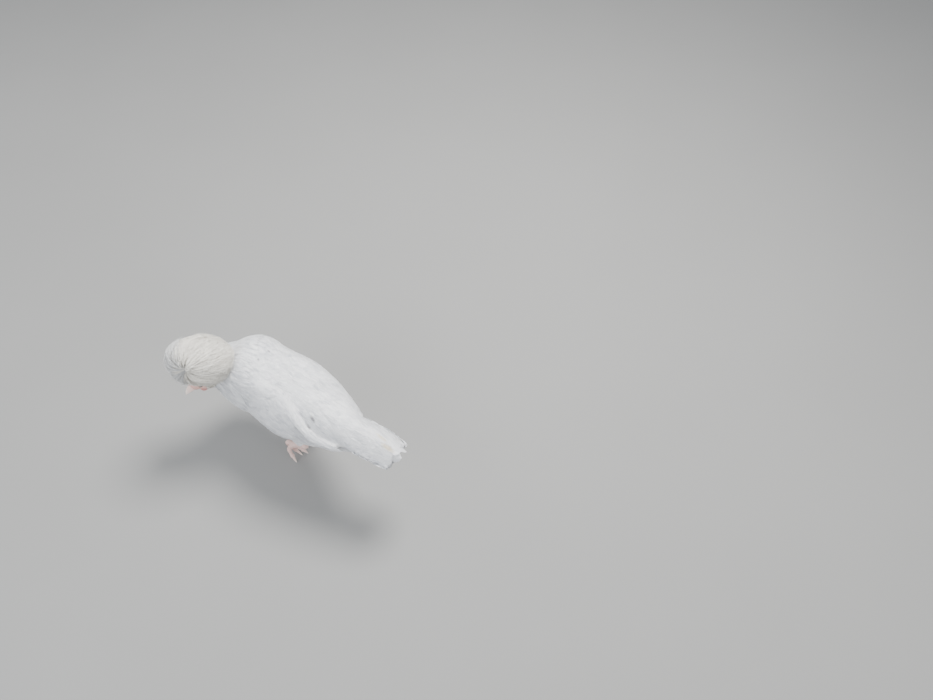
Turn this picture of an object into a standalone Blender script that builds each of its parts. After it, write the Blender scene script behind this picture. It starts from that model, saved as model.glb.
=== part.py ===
"""A white crested hen as a still, life-size model: a walking stance, head turned to its left.

Metres, +Z up. The hen faces -Y and its left side is +X. The floor is z = 0.
The body is described about its own midline, and the last step moves every piece by the same
amount, so that the origin ends up at the middle of the bottom of the bounding box.
"""

import math
import random

import bpy
import numpy as np
from mathutils import Vector
from mathutils.bvhtree import BVHTree

GAP = 0.0003
SEED = 11

# Torso: place along Y, height of the middle, half width, rise above and drop below the middle
TORSO_STATIONS = (
    (-0.118, 0.145, 0.010, 0.008, 0.010),
    (-0.112, 0.145, 0.027, 0.022, 0.027),
    (-0.095, 0.145, 0.046, 0.043, 0.047),
    (-0.060, 0.146, 0.057, 0.067, 0.063),
    (-0.010, 0.144, 0.051, 0.064, 0.064),
    (0.040, 0.144, 0.049, 0.060, 0.059),
    (0.080, 0.149, 0.042, 0.051, 0.053),
    (0.115, 0.157, 0.034, 0.038, 0.044),
    (0.150, 0.162, 0.024, 0.027, 0.034),
    (0.168, 0.158, 0.015, 0.010, 0.022),
    (0.174, 0.156, 0.007, 0.004, 0.010),
)
TORSO_SIDES = 22
TORSO_RINGS = 19
# The body bends a little as it walks: how far its midline stands to the left at places along Y
BODY_BEND = (
    (-0.118, -0.001),
    (-0.060, -0.005),
    (-0.010, -0.003),
    (0.040, 0.000),
    (0.080, 0.002),
    (0.115, 0.005),
    (0.150, 0.008),
    (0.170, 0.006),
    (0.190, 0.003),
    (0.232, 0.000),
)

# Head: its middle, how far it is turned to the left and how far the beak dips
HEAD_MIDDLE = Vector((0.060, -0.1045, 0.178))
HEAD_TURN = math.radians(63)
HEAD_DIP = math.radians(22)
# Skull: place along the head, height of the middle, half width, half height
SKULL_STATIONS = (
    (-0.0250, -0.0010, 0.0040, 0.0050),
    (-0.0225, -0.0010, 0.0090, 0.0110),
    (-0.0150, 0.0000, 0.0140, 0.0165),
    (-0.0040, 0.0000, 0.0158, 0.0180),
    (0.0070, -0.0010, 0.0138, 0.0160),
    (0.0140, -0.0022, 0.0105, 0.0122),
    (0.0185, -0.0030, 0.0078, 0.0092),
    (0.0200, -0.0032, 0.0060, 0.0074),
)
SKULL_SIDES = 18
SKULL_RINGS = 12

BEAK_LENGTH = 0.0215
BEAK_ROOT = 0.0150
BEAK_HALF_WIDTH = 0.0068
BEAK_RISE = 0.0078
BEAK_DROP = 0.0052
MOUTH_LEVEL = -0.0052
NOSTRIL_SIZE = (0.0022, 0.0016, 0.0012)

EYE_RADIUS = 0.0052
EYE_PLACE = (0.0035, 0.0120, 0.0035)
EYE_CLEARANCE = 0.0012
LID_RADIUS = 0.0050
LID_THICKNESS = 0.0011
LID_STAND_OFF = 1.12
EAR_PLACE = (-0.0115, 0.0144, 0.0000)
EAR_RADIUS = 0.0030
EAR_RIM_THICKNESS = 0.0009
EAR_CUP_SIZE = (0.0021, 0.0024, 0.0023)
RIM_SIDES = 5
RIM_SEGMENTS = 11
EARLOBE_PLACE = (-0.0100, 0.0142, -0.0108)
EARLOBE_SIZE = (0.0046, 0.0030, 0.0054)
WATTLE_PLACE = (0.0100, 0.0042, -0.0190)
WATTLE_SIZE = (0.0048, 0.0018, 0.0078)
COMB_PLACE = (0.0125, 0.0045, 0.0090)
COMB_HORN = 0.0085
COMB_RADIUS = 0.0024

# Room kept free of the crest: middle and half sizes along the head's own axes
FACE_ZONE = (0.0180, 0.0, -0.0020)
FACE_ZONE_SIZE = (0.0300, 0.0260, 0.0220)
CHEEK_ZONE = (-0.0060, 0.0, -0.0120)
CHEEK_ZONE_SIZE = (0.0260, 0.0260, 0.0240)

# Neck: middle line from inside the torso to inside the skull, and its radius
NECK_LINE = (
    Vector((-0.003, -0.060, 0.152)),
    Vector((0.008, -0.079, 0.162)),
    Vector((0.031, -0.096, 0.167)),
    Vector((0.047, -0.100, 0.177)),
)
NECK_RADII = (0.038, 0.038, 0.031, 0.0150)
NECK_SIDES = 16
NECK_RINGS = 9

# Crest: a dome of locks that leave the forehead and run back over the crown
CREST_MIDDLE = Vector((0.049, -0.108, 0.206))
CREST_LONG_AXIS = Vector((0.530, -0.848, 0.0))
CREST_HALF_SIZES = (0.0505, 0.0385, 0.0380)
CREST_WHORL = Vector((0.93, 0.10, 0.32))

CREST_CORE_SHARE = 0.48
CREST_ROOT_SHARE = 0.34
# Crest tiers: angle of the roots from the whorl in degrees, and how many locks
CREST_TIERS = ((6, 6), (25, 9), (45, 11), (65, 12), (86, 11), (108, 8), (130, 5))
CREST_SWEEP = 50
CREST_LOCK_HALF_WIDTH = 0.0090
CREST_MOST_BEND = 0.014
# Locks whose tips would hang in front of the face below this height are shortened, then left out
FACE_FRONT = 0.003
FACE_TOP = 0.206
CREST_SHORTENINGS = (1.0, 0.75, 0.5)
# Short locks that lie close over the forehead where a full one would hide the face
FOREHEAD_REACH = 0.66
FOREHEAD_SWEEP = 0.7
FOREHEAD_TIERS = 2
FOREHEAD_MOST_BEND = 0.0035
# Locks that cross the whorl from the forehead: their turns round it, and where they start
CREST_CAP_TURNS = (228, 270, 312)
CREST_CAP_START = -24
CREST_CAP_REACH = 1.05
LOCK_POINTS = 5
LOCK_THICKNESS = 0.0010
LOCK_PROFILE = ((0.0, 0.32), (0.25, 0.78), (0.5, 1.0), (0.75, 0.84), (1.0, 0.14))
FEATHER_THINNING = 0.2

# Hackle tiers: place along the neck line, how many feathers, and their length
HACKLE_TIERS = ((0.86, 9, 0.038), (0.56, 11, 0.048))
HACKLE_HALF_WIDTH = 0.0100
HACKLE_LIFT = ((0.0, -0.0020), (0.25, 0.0022), (0.6, 0.0034), (1.0, 0.0030))
HACKLE_DEPTH = 0.0104
HACKLE_BACKWARD = Vector((0.0, 0.25, 0.0))
HACKLE_FRONT = -0.125

# Tail: the tent of feathers, from the rump to the blunt end
TAIL_START = 0.150
TAIL_TIP_Y = 0.232

# Legs: hock and hub of each foot
RIGHT_HUB = Vector((-0.026, 0.004, 0.0))
RIGHT_HOCK = Vector((-0.031, 0.036, 0.073))
LEFT_HUB = Vector((0.027, 0.026, 0.044))
LEFT_HOCK = Vector((0.038, 0.063, 0.094))


def clear_scene():
    for obj in list(bpy.data.objects):
        bpy.data.objects.remove(obj, do_unlink=True)


def make_material(name, colour, roughness, metallic=0.0):
    material = bpy.data.materials.new(name)
    material.use_nodes = True
    shader = material.node_tree.nodes["Principled BSDF"]
    shader.inputs["Base Color"].default_value = (*colour, 1.0)
    shader.inputs["Roughness"].default_value = roughness
    shader.inputs["Metallic"].default_value = metallic
    return material


def mesh_object(name, points, faces, material=None):
    mesh = bpy.data.meshes.new(name)
    mesh.from_pydata([tuple(p) for p in points], [], faces)
    mesh.update()
    if material:
        mesh.materials.append(material)
    obj = bpy.data.objects.new(name, mesh)
    bpy.context.scene.collection.objects.link(obj)
    return obj


def smooth_table(table, place):
    """One row of the table at a place along its first column, on a smooth curve through the rows."""
    rows = np.array(table)
    keys = rows[:, 0]
    place = float(np.clip(place, keys[0], keys[-1]))
    index = int(np.clip(np.searchsorted(keys, place) - 1, 0, len(keys) - 2))
    slopes = np.gradient(rows, keys, axis=0)
    step = keys[index + 1] - keys[index]
    t = (place - keys[index]) / step
    start, end = rows[index], rows[index + 1]
    return (
        (2 * t**3 - 3 * t**2 + 1) * start
        + (t**3 - 2 * t**2 + t) * step * slopes[index]
        + (3 * t**2 - 2 * t**3) * end
        + (t**3 - t**2) * step * slopes[index + 1]
    )


def ring_tube(name, rings, material=None):
    """A closed tube through rings of equal count, with a flat cap at each end."""
    count = len(rings[0])
    points = [p for ring in rings for p in ring]
    faces = []
    for i in range(len(rings) - 1):
        low, high = i * count, (i + 1) * count
        for k in range(count):
            after = (k + 1) % count
            faces.append((low + k, low + after, high + after, high + k))
    faces.append(tuple(reversed(range(count))))
    faces.append(tuple(range(len(points) - count, len(points))))
    return mesh_object(name, points, faces, material)


def oval_ring(middle, side, up, half_width, rise, drop, count):
    ring = []
    for k in range(count):
        angle = 2 * math.pi * k / count
        height = rise if math.cos(angle) > 0 else drop
        ring.append(middle + side * half_width * math.sin(angle) + up * height * math.cos(angle))
    return ring


def line_frames(points, up):
    """Tangent, side and up at each point of a line."""
    frames = []
    for i, _ in enumerate(points):
        tangent = (points[min(i + 1, len(points) - 1)] - points[max(i - 1, 0)]).normalized()
        side = tangent.cross(up).normalized()
        frames.append((tangent, side, side.cross(tangent).normalized()))
    return frames


def tapered_tube(name, points, radii, sides, up=Vector((0, 0, 1)), material=None):
    rings = []
    for point, radius, (_, side, across) in zip(points, radii, line_frames(points, up)):
        rings.append(oval_ring(point, side, across, radius, radius, radius, sides))
    return ring_tube(name, rings, material)


def spread(start, end, count):
    return [start + (end - start) * i / (count - 1) for i in range(count)]


def curve_point(points, t):
    """A point of the smooth curve through a few points, t from 0 to 1."""
    rows = [(i / (len(points) - 1), *p) for i, p in enumerate(points)]
    return Vector(smooth_table(rows, t)[1:])


def ellipsoid(name, middle, axes, sizes, sides=14, rings=8, material=None):
    """A closed ball stretched along three axes."""
    made = []
    for i in range(1, rings):
        angle = math.pi * i / rings
        centre = middle - axes[0] * sizes[0] * math.cos(angle)
        size = math.sin(angle)
        made.append(
            oval_ring(centre, axes[1], axes[2], sizes[1] * size, sizes[2] * size, sizes[2] * size, sides)
        )
    return ring_tube(name, made, material)


def outward(obj):
    """Turns the faces of a closed mesh outward."""
    mesh = obj.data
    total = 0.0
    mesh.calc_loop_triangles()
    for triangle in mesh.loop_triangles:
        a, b, c = (mesh.vertices[v].co for v in triangle.vertices)
        total += a.dot(b.cross(c))
    if total < 0:
        mesh.flip_normals()
    return obj


def apply_boolean(base, others, operation, solver):
    """Joins or cuts the base with a collection of closed meshes, which are then removed."""
    group = bpy.data.collections.new("cutters")
    bpy.context.scene.collection.children.link(group)
    for other in others:
        outward(other)
        bpy.context.scene.collection.objects.unlink(other)
        group.objects.link(other)
        other.hide_render = True
    outward(base)
    modifier = base.modifiers.new("cut", "BOOLEAN")
    modifier.operation = operation
    modifier.operand_type = "COLLECTION"
    modifier.collection = group
    modifier.solver = solver
    graph = bpy.context.evaluated_depsgraph_get()
    made = bpy.data.meshes.new_from_object(base.evaluated_get(graph))
    base.modifiers.clear()
    base.data = made
    for other in list(group.objects):
        bpy.data.objects.remove(other, do_unlink=True)
    bpy.data.collections.remove(group)
    keep_largest(base)


def union(base, others, solver="EXACT"):
    apply_boolean(base, others, "UNION", solver)


def cut(base, others, solver="EXACT"):
    apply_boolean(base, others, "DIFFERENCE", solver)


def keep_largest(obj):
    """Leaves only the largest closed surface of a mesh, counting faces that share an edge as one."""
    mesh = obj.data
    parent = list(range(len(mesh.polygons)))

    def top(face):
        while parent[face] != face:
            parent[face] = parent[parent[face]]
            face = parent[face]
        return face

    owner = {}
    for face in mesh.polygons:
        for key in face.edge_keys:
            if key in owner:
                parent[top(face.index)] = top(owner[key])
            else:
                owner[key] = face.index
    mesh.calc_loop_triangles()
    volumes = {}
    for triangle in mesh.loop_triangles:
        a, b, c = (mesh.vertices[v].co for v in triangle.vertices)
        root = top(triangle.polygon_index)
        volumes[root] = volumes.get(root, 0.0) + a.dot(b.cross(c)) / 6
    best = max(volumes, key=lambda root: abs(volumes[root]))
    kept = [face for face in mesh.polygons if top(face.index) == best]
    used = sorted({v for face in kept for v in face.vertices})
    place = {v: i for i, v in enumerate(used)}
    points = [mesh.vertices[v].co.copy() for v in used]
    faces = [tuple(place[v] for v in face.vertices) for face in kept]
    materials = list(mesh.materials)
    fresh = bpy.data.meshes.new(obj.name)
    fresh.from_pydata(points, [], faces)
    fresh.update()
    for material in materials:
        fresh.materials.append(material)
    obj.data = fresh


def surface_of(obj):
    mesh = obj.data
    return BVHTree.FromPolygons([v.co for v in mesh.vertices], [tuple(f.vertices) for f in mesh.polygons])


def bend(y):
    """How far the body's midline stands to the left at a place along it."""
    return smooth_table(BODY_BEND, y)[1]


def torso_shape(name, grow=0.0, material=None):
    first, last = TORSO_STATIONS[0][0], TORSO_STATIONS[-1][0]
    rings = []
    for i in range(TORSO_RINGS + 1):
        share = i / TORSO_RINGS
        y = first + (last - first) * (share - 0.07 * math.sin(2 * math.pi * share))
        _, z, half, rise, drop = smooth_table(TORSO_STATIONS, y)
        stretch = y - grow if i == 0 else y + grow if i == TORSO_RINGS else y
        rings.append(
            oval_ring(
                Vector((bend(y), stretch, z)),
                Vector((1, 0, 0)),
                Vector((0, 0, 1)),
                half + grow,
                rise + grow,
                drop + grow,
                TORSO_SIDES,
            )
        )
    return outward(ring_tube(name, rings, material))


def head_axes():
    """Forward, left and up of the head."""
    forward = Vector(
        (
            math.cos(HEAD_DIP) * math.sin(HEAD_TURN),
            -math.cos(HEAD_DIP) * math.cos(HEAD_TURN),
            -math.sin(HEAD_DIP),
        )
    )
    left = Vector((0, 0, 1)).cross(forward).normalized()
    return forward, left, forward.cross(left)


def on_head(forward, left, up):
    axes = head_axes()
    return HEAD_MIDDLE + axes[0] * forward + axes[1] * left + axes[2] * up


def skull_shape(name, grow=0.0, material=None):
    forward, left, up = head_axes()
    first, last = SKULL_STATIONS[0][0], SKULL_STATIONS[-1][0]
    rings = []
    for i in range(SKULL_RINGS + 1):
        share = i / SKULL_RINGS
        place = first + (last - first) * (share - 0.08 * math.sin(2 * math.pi * share))
        _, height, half, tall = smooth_table(SKULL_STATIONS, place)
        place += -grow if i == 0 else grow if i == SKULL_RINGS else 0.0
        half += grow
        tall += grow
        rings.append(oval_ring(on_head(place, 0, height), left, up, half, tall, tall, SKULL_SIDES))
    return outward(ring_tube(name, rings, material))


def neck_shape(name, grow=0.0, material=None):
    points = [curve_point(NECK_LINE, t) for t in spread(0.0, 1.0, NECK_RINGS)]
    table = [(i / (len(NECK_RADII) - 1), r) for i, r in enumerate(NECK_RADII)]
    radii = [smooth_table(table, t)[1] + grow for t in spread(0.0, 1.0, NECK_RINGS)]
    return outward(tapered_tube(name, points, radii, NECK_SIDES, Vector((0, 0, 1)), material))


def add_torso(materials):
    return torso_shape("torso", 0.0, materials["plumage"])


def ring_on_head(place, radius, thickness, sides):
    """A small rounded rim lying on the side of the head."""
    forward, left, up = head_axes()
    middle = on_head(*place)
    outside = left if place[1] > 0 else -left
    segments = RIM_SEGMENTS
    points, faces = [], []
    for i in range(segments):
        angle = 2 * math.pi * i / segments
        spoke = forward * math.cos(angle) + up * math.sin(angle)
        for k in range(sides):
            turn = 2 * math.pi * k / sides
            points.append(
                middle
                + spoke * (radius + thickness * math.cos(turn))
                + outside * thickness * math.sin(turn)
            )
    for i in range(segments):
        for k in range(sides):
            low, high = i * sides, ((i + 1) % segments) * sides
            after = (k + 1) % sides
            faces.append((low + k, low + after, high + after, high + k))
    return mesh_object("rim", points, faces)


def both_sides(place):
    forward, left, up = place
    return (("left", (forward, left, up)), ("right", (forward, -left, up)))


def lid_and_ear_rims(grow=0.0):
    rims = []
    for _, (forward, left, up) in both_sides(EYE_PLACE):
        place = (forward, left * LID_STAND_OFF, up)
        rims.append(ring_on_head(place, LID_RADIUS, LID_THICKNESS + grow, RIM_SIDES))
    for _, place in both_sides(EAR_PLACE):
        rims.append(ring_on_head(place, EAR_RADIUS, EAR_RIM_THICKNESS + grow, RIM_SIDES))
    return rims


def add_head(materials):
    """Skull with a lid rim round each eye and a cup for each ear."""
    axes = head_axes()
    head = skull_shape("head", 0.0, materials["face"])
    hollows = eyes(GAP)
    for _, place in both_sides(EAR_PLACE):
        hollows.append(ellipsoid("ear_cup", on_head(*place), axes, EAR_CUP_SIZE, 10, 6))
    union(head, lid_and_ear_rims())
    cut(head, hollows)


def eyes(grow=0.0, material=None):
    balls = []
    for side, place in both_sides(EYE_PLACE):
        sizes = (EYE_RADIUS + grow,) * 3
        balls.append(ellipsoid(f"eye_{side}", on_head(*place), head_axes(), sizes, 12, 8, material))
    return balls


def beak_half(name, upper, grow=0.0, material=None):
    """One half of the beak: flat at the mouth line, arched along the culmen, hooked a little."""
    forward, left, up = head_axes()
    rings = []
    steps = 9
    length = BEAK_LENGTH if upper else BEAK_LENGTH * 0.84
    depth = BEAK_RISE if upper else -BEAK_DROP
    mouth = MOUTH_LEVEL + (GAP / 2 if upper else -GAP / 2)
    for i in range(steps):
        t = i / (steps - 1)
        half = BEAK_HALF_WIDTH * (1 - t**1.6) ** 0.75 + 0.0006 + grow
        tall = depth * (1 - t**1.9) ** 0.8 + math.copysign(0.0007 + grow, depth)
        sag = -0.0050 * t**2.4
        level = mouth + sag - math.copysign(grow, depth)
        place = BEAK_ROOT + (length + grow) * t - grow
        if not upper:
            half *= 0.92
        turns = spread(0, math.pi, 9)
        rings.append([on_head(place, half * math.cos(a), level + tall * math.sin(a)) for a in turns])
    return outward(ring_tube(name, rings, material))


def add_beak(materials):
    axes = head_axes()
    upper = beak_half("beak_upper", True, 0.0, materials["horn"])
    lower = beak_half("beak_lower", False, 0.0, materials["horn"])
    cut(upper, [skull_shape("near_skull", GAP)])
    cut(lower, [skull_shape("near_skull", GAP)])
    nostrils = []
    for side in (1, -1):
        place = on_head(BEAK_ROOT + 0.0085, side * 0.0050, MOUTH_LEVEL + 0.0040)
        nostrils.append(ellipsoid("nostril", place, axes, NOSTRIL_SIZE, 10, 6))
    cut(upper, nostrils)


def comb_horns(name, grow=0.0, material=None):
    """Two small horns in a V in front of the crest."""
    horns = []
    for side in (1, -1):
        root = on_head(COMB_PLACE[0] - 0.002, side * COMB_PLACE[1] * 0.5, COMB_PLACE[2] - 0.002)
        tip = on_head(COMB_PLACE[0] + 0.004, side * COMB_PLACE[1] * 1.5, COMB_PLACE[2] + COMB_HORN)
        points = spread(root, tip + (tip - root).normalized() * grow, 6)
        radii = [COMB_RADIUS * (1.05 - t**2 * 0.75) + grow for t in spread(0.0, 1.0, 6)]
        horns.append(tapered_tube(name, points, radii, 9, Vector((0.1, 1, 0.2)), material))
    return horns


def add_comb(materials):
    left_horn, right_horn = comb_horns("comb", 0.0, materials["comb"])
    union(left_horn, [right_horn])
    cut(left_horn, [skull_shape("near_skull", GAP), beak_half("near_beak", True, GAP)])
    left_horn.name = "comb"


def earlobes(grow=0.0, material=None):
    sizes = tuple(size + grow for size in EARLOBE_SIZE)
    lobes = []
    for side, place in both_sides(EARLOBE_PLACE):
        lobes.append(ellipsoid(f"earlobe_{side}", on_head(*place), head_axes(), sizes, 12, 6, material))
    return lobes


def add_lobes(materials):
    axes = head_axes()
    for lobe in earlobes(0.0, materials["earlobe"]):
        cut(lobe, [skull_shape("near_skull", GAP)])
    for side, place in both_sides(WATTLE_PLACE):
        wattle = ellipsoid(f"wattle_{side}", on_head(*place), axes, WATTLE_SIZE, 12, 7, materials["comb"])
        cut(wattle, [skull_shape("near_skull", GAP), beak_half("near_beak", False, GAP)])


def face_zones():
    """Room that the crest leaves free in front of and beside the face."""
    axes = head_axes()
    front = ellipsoid("near_face", on_head(*FACE_ZONE), axes, FACE_ZONE_SIZE, 20, 12)
    cheeks = ellipsoid("near_cheeks", on_head(*CHEEK_ZONE), axes, CHEEK_ZONE_SIZE, 20, 12)
    return [front, cheeks]


def crest_axes():
    long_axis = CREST_LONG_AXIS.normalized()
    up = Vector((0, 0, 1))
    return long_axis, up.cross(long_axis), up


def feather(name, points, normals, half_widths, thickness, roll=0.0, material=None):
    """A flat closed vane or lock along a line, split into triangles alike on both faces."""
    corners = []
    last = len(points) - 1
    for i, (point, normal, half) in enumerate(zip(points, normals, half_widths)):
        tangent = (points[min(i + 1, last)] - points[max(i - 1, 0)]).normalized()
        side = tangent.cross(normal).normalized()
        above = side.cross(tangent).normalized()
        turned = side * math.cos(roll) + above * math.sin(roll)
        above = above * math.cos(roll) - side * math.sin(roll)
        rise = above * thickness * (0.5 - FEATHER_THINNING * i / last)
        corners += [point - turned * half + rise, point + turned * half + rise]
        corners += [point + turned * half - rise, point - turned * half - rise]
    faces = [(0, 1, 2), (0, 2, 3)]
    for i in range(last):
        low, high = 4 * i, 4 * i + 4
        faces += [(low, high, high + 1), (low, high + 1, low + 1)]
        faces += [(low + 1, high + 1, high + 2), (low + 1, high + 2, low + 2)]
        faces += [(low + 3, low + 2, high + 2), (low + 3, high + 2, high + 3)]
        faces += [(low, low + 3, high + 3), (low, high + 3, high)]
    end = 4 * last
    faces += [(end, end + 2, end + 1), (end, end + 3, end + 2)]
    return outward(mesh_object(name, corners, faces, material))


def widths(profile, half, count):
    return [half * smooth_table(profile, t)[1] for t in spread(0.0, 1.0, count)]


def push_clear(point, surfaces):
    """Moves a point that lies inside a grown neighbour out to its surface."""
    for surface in surfaces:
        near, normal, _, _ = surface.find_nearest(point)
        if (point - near).dot(normal) < 0:
            point = near + normal * GAP
    return point


def surfaces_of(shapes):
    """The surfaces of helper shapes, which are then removed."""
    surfaces = []
    for shape in shapes:
        surfaces.append(surface_of(outward(shape)))
        bpy.data.objects.remove(shape, do_unlink=True)
    return surfaces


def crest_point(polar, around, share):
    """A point of the crest by its angle from the whorl, its angle round it, and its share of the depth."""
    whorl = CREST_WHORL.normalized()
    first = whorl.cross(Vector((0, 0, 1))).normalized()
    second = whorl.cross(first)
    ray = whorl * math.cos(polar) + (first * math.cos(around) + second * math.sin(around)) * math.sin(polar)
    point = CREST_MIDDLE.copy()
    normal = Vector((0, 0, 0))
    for axis, size in zip(crest_axes(), CREST_HALF_SIZES):
        point += axis * ray.dot(axis) * size * share
        normal += axis * ray.dot(axis) / size
    return point, normal.normalized()


def crest_lock_line(polar, around, sweep, twist, reach, keep_clear):
    """Points and normals of one lock, bent clear of its neighbours, and how far it was bent."""
    points, normals, bend = [], [], 0.0
    for t in spread(0.0, 1.0, LOCK_POINTS):
        depth = CREST_ROOT_SHARE + (reach - CREST_ROOT_SHARE) * math.sin(0.5 * math.pi * t**0.62)
        point, normal = crest_point(polar + sweep * t, around + twist * t, depth)
        clear = push_clear(point, keep_clear)
        bend = max(bend, (clear - point).length)
        points.append(clear)
        normals.append(normal)
    return points, normals, bend


def lock_choices(reach, tier):
    """A lock's length, height and most bend: in full if it leaves the face free, else shorter or lower."""
    choices = [(share, reach, CREST_MOST_BEND) for share in CREST_SHORTENINGS]
    if tier < FOREHEAD_TIERS:
        choices.append((FOREHEAD_SWEEP, FOREHEAD_REACH, FOREHEAD_MOST_BEND))
    return choices


def crest_locks(keep_clear):
    """Tiers of flat locks that rise from the core and run back over one another to their tips."""
    dice = random.Random(SEED)
    locks = []
    for tier, (polar, count) in enumerate(CREST_TIERS):
        for k in range(count):
            around = 2 * math.pi * (k + 0.5 * (tier % 2) + dice.uniform(-0.10, 0.10)) / count
            start = math.radians(polar + dice.uniform(-1, 1))
            sweep = math.radians(CREST_SWEEP * dice.uniform(0.90, 1.12))
            twist = math.radians(dice.uniform(-6, 6))
            reach = dice.uniform(0.985, 1.03)
            half = CREST_LOCK_HALF_WIDTH * dice.uniform(0.90, 1.10)
            roll = math.radians(dice.uniform(6, 9))
            for share, height, most_bend in lock_choices(reach, tier):
                points, normals, bend = crest_lock_line(
                    start, around, sweep * share, twist, height, keep_clear
                )
                if bend < most_bend and (height < reach or not over_face(points[-1])):
                    outline = widths(LOCK_PROFILE, half, LOCK_POINTS)
                    locks.append(feather("lock", points, normals, outline, LOCK_THICKNESS, roll))
                    break
    for turn in CREST_CAP_TURNS:
        sweep = math.radians(CREST_SWEEP * dice.uniform(1.0, 1.1))
        points, normals, _ = crest_lock_line(
            math.radians(CREST_CAP_START), math.radians(turn), sweep, 0.0, CREST_CAP_REACH, keep_clear
        )
        outline = widths(LOCK_PROFILE, CREST_LOCK_HALF_WIDTH, LOCK_POINTS)
        locks.append(feather("lock", points, normals, outline, LOCK_THICKNESS, math.radians(7)))
    return locks


def over_face(tip):
    return (tip - HEAD_MIDDLE).dot(head_axes()[0]) > FACE_FRONT and tip.z < FACE_TOP


def add_crest(materials):
    """A core that reaches less than half way out, and the locks that stand on it."""
    core_sizes = tuple(size * CREST_CORE_SHARE for size in CREST_HALF_SIZES)
    crest = ellipsoid("crest", CREST_MIDDLE, crest_axes(), core_sizes, 18, 10, materials["crest"])
    neighbours = surfaces_of(
        [neck_shape("near_neck", HACKLE_DEPTH), torso_shape("near_torso", HACKLE_DEPTH), *face_zones()]
    )
    neighbours += surfaces_of([skull_shape("near_skull", GAP * 3)])
    union(crest, crest_locks(neighbours), "MANIFOLD")
    cutters = [
        skull_shape("near_skull", GAP),
        neck_shape("near_neck", HACKLE_DEPTH),
        torso_shape("near_torso", HACKLE_DEPTH),
        *comb_horns("near_comb", GAP),
        *lid_and_ear_rims(GAP),
        *earlobes(GAP),
        *eyes(EYE_CLEARANCE),
        beak_half("near_beak", True, GAP),
    ]
    for cutter in cutters:
        cut(crest, [cutter], "MANIFOLD")


def near_body_surface():
    """The surface of the torso and neck together, which the hackle lies on."""
    body = torso_shape("near_body")
    union(body, [neck_shape("near_neck")])
    return surfaces_of([body])[0]


def hackle_feathers():
    """Tiers of neck feathers that run from under the crest back over the shoulders."""
    dice = random.Random(SEED + 1)
    surface = near_body_surface()
    feathers = []
    for tier, (share, count, length) in enumerate(HACKLE_TIERS):
        centre = curve_point(NECK_LINE, share)
        ahead = (curve_point(NECK_LINE, share + 0.05) - centre).normalized()
        side = ahead.cross(Vector((0, 0, 1))).normalized()
        above = side.cross(ahead)
        radius = smooth_table([(i / 3, r) for i, r in enumerate(NECK_RADII)], share)[1]
        for k in range(count):
            turn = 2 * math.pi * (k + 0.5 * (tier % 2) + dice.uniform(-0.12, 0.12)) / count
            spoke = side * math.sin(turn) + above * math.cos(turn)
            spot = centre + spoke * radius
            reach = length * dice.uniform(0.9, 1.08)
            points, normals = [], []
            heading = -ahead
            for t in spread(0.0, 1.0, LOCK_POINTS):
                near, normal, _, _ = surface.find_nearest(spot)
                points.append(near + normal * (smooth_table(HACKLE_LIFT, t)[1] - 0.0004 * tier))
                normals.append(normal)
                heading = (heading + HACKLE_BACKWARD).normalized()
                heading = (heading - normal * heading.dot(normal)).normalized()
                spot = near + heading * reach / (LOCK_POINTS - 1)
            if points[-1].y < HACKLE_FRONT or points[-1].y > hackle_end(points[-1]):
                continue
            half = HACKLE_HALF_WIDTH * dice.uniform(0.9, 1.1)
            roll = math.radians(dice.uniform(3, 7))
            feathers.append(
                feather(
                    "hackle", points, normals, widths(LOCK_PROFILE, half, LOCK_POINTS), LOCK_THICKNESS, roll
                )
            )
    return feathers


def hackle_end(point):
    """How far back the hackle may lie: it stays in front of the wings at the sides."""
    return -0.035 if abs(point.x) < 0.020 else -0.055


def add_neck(materials):
    neck = neck_shape("neck", 0.0, materials["plumage"])
    union(neck, hackle_feathers())
    cutters = [skull_shape("near_skull", GAP), torso_shape("near_torso", GAP), *earlobes(GAP)]
    cutters += lid_and_ear_rims(GAP)
    for cutter in cutters:
        cut(neck, [cutter])


def torso_point(y, angle, lift):
    """A point on the torso at an angle from its top, lifted off the surface."""
    _, z, half, rise, drop = smooth_table(TORSO_STATIONS, y)
    height = rise if math.cos(angle) > 0 else drop
    normal = Vector((math.sin(angle) / half, 0, math.cos(angle) / height)).normalized()
    place = Vector((bend(y) + half * math.sin(angle), y, z + height * math.cos(angle)))
    return place + normal * lift


# Wing outlines along the torso: front and rear, then angle from the top of the upper edge and of
# the lower edge, and the depth, each by the share of the way back
WING_CORE = (
    -0.050,
    0.024,
    ((0.0, 62), (0.3, 44), (0.7, 28), (1.0, 26)),
    ((0.0, 84), (0.4, 112), (0.8, 116), (1.0, 104)),
    ((0.0, 0.002), (0.35, 0.0080), (0.75, 0.0070), (1.0, 0.0030)),
)
WING_ROOM = (
    -0.054,
    0.145,
    ((0.0, 56), (0.3, 26), (0.7, 26), (1.0, 76)),
    ((0.0, 90), (0.25, 118), (0.6, 116), (1.0, 106)),
    ((0.0, 0.013), (1.0, 0.016)),
)
WING_GROW_TURN = 30.0
WING_STAND_OFF = 0.0009
WING_EDGE_DEPTH = 0.0012
ROOM_EDGE_DEPTH = 0.0120

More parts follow.
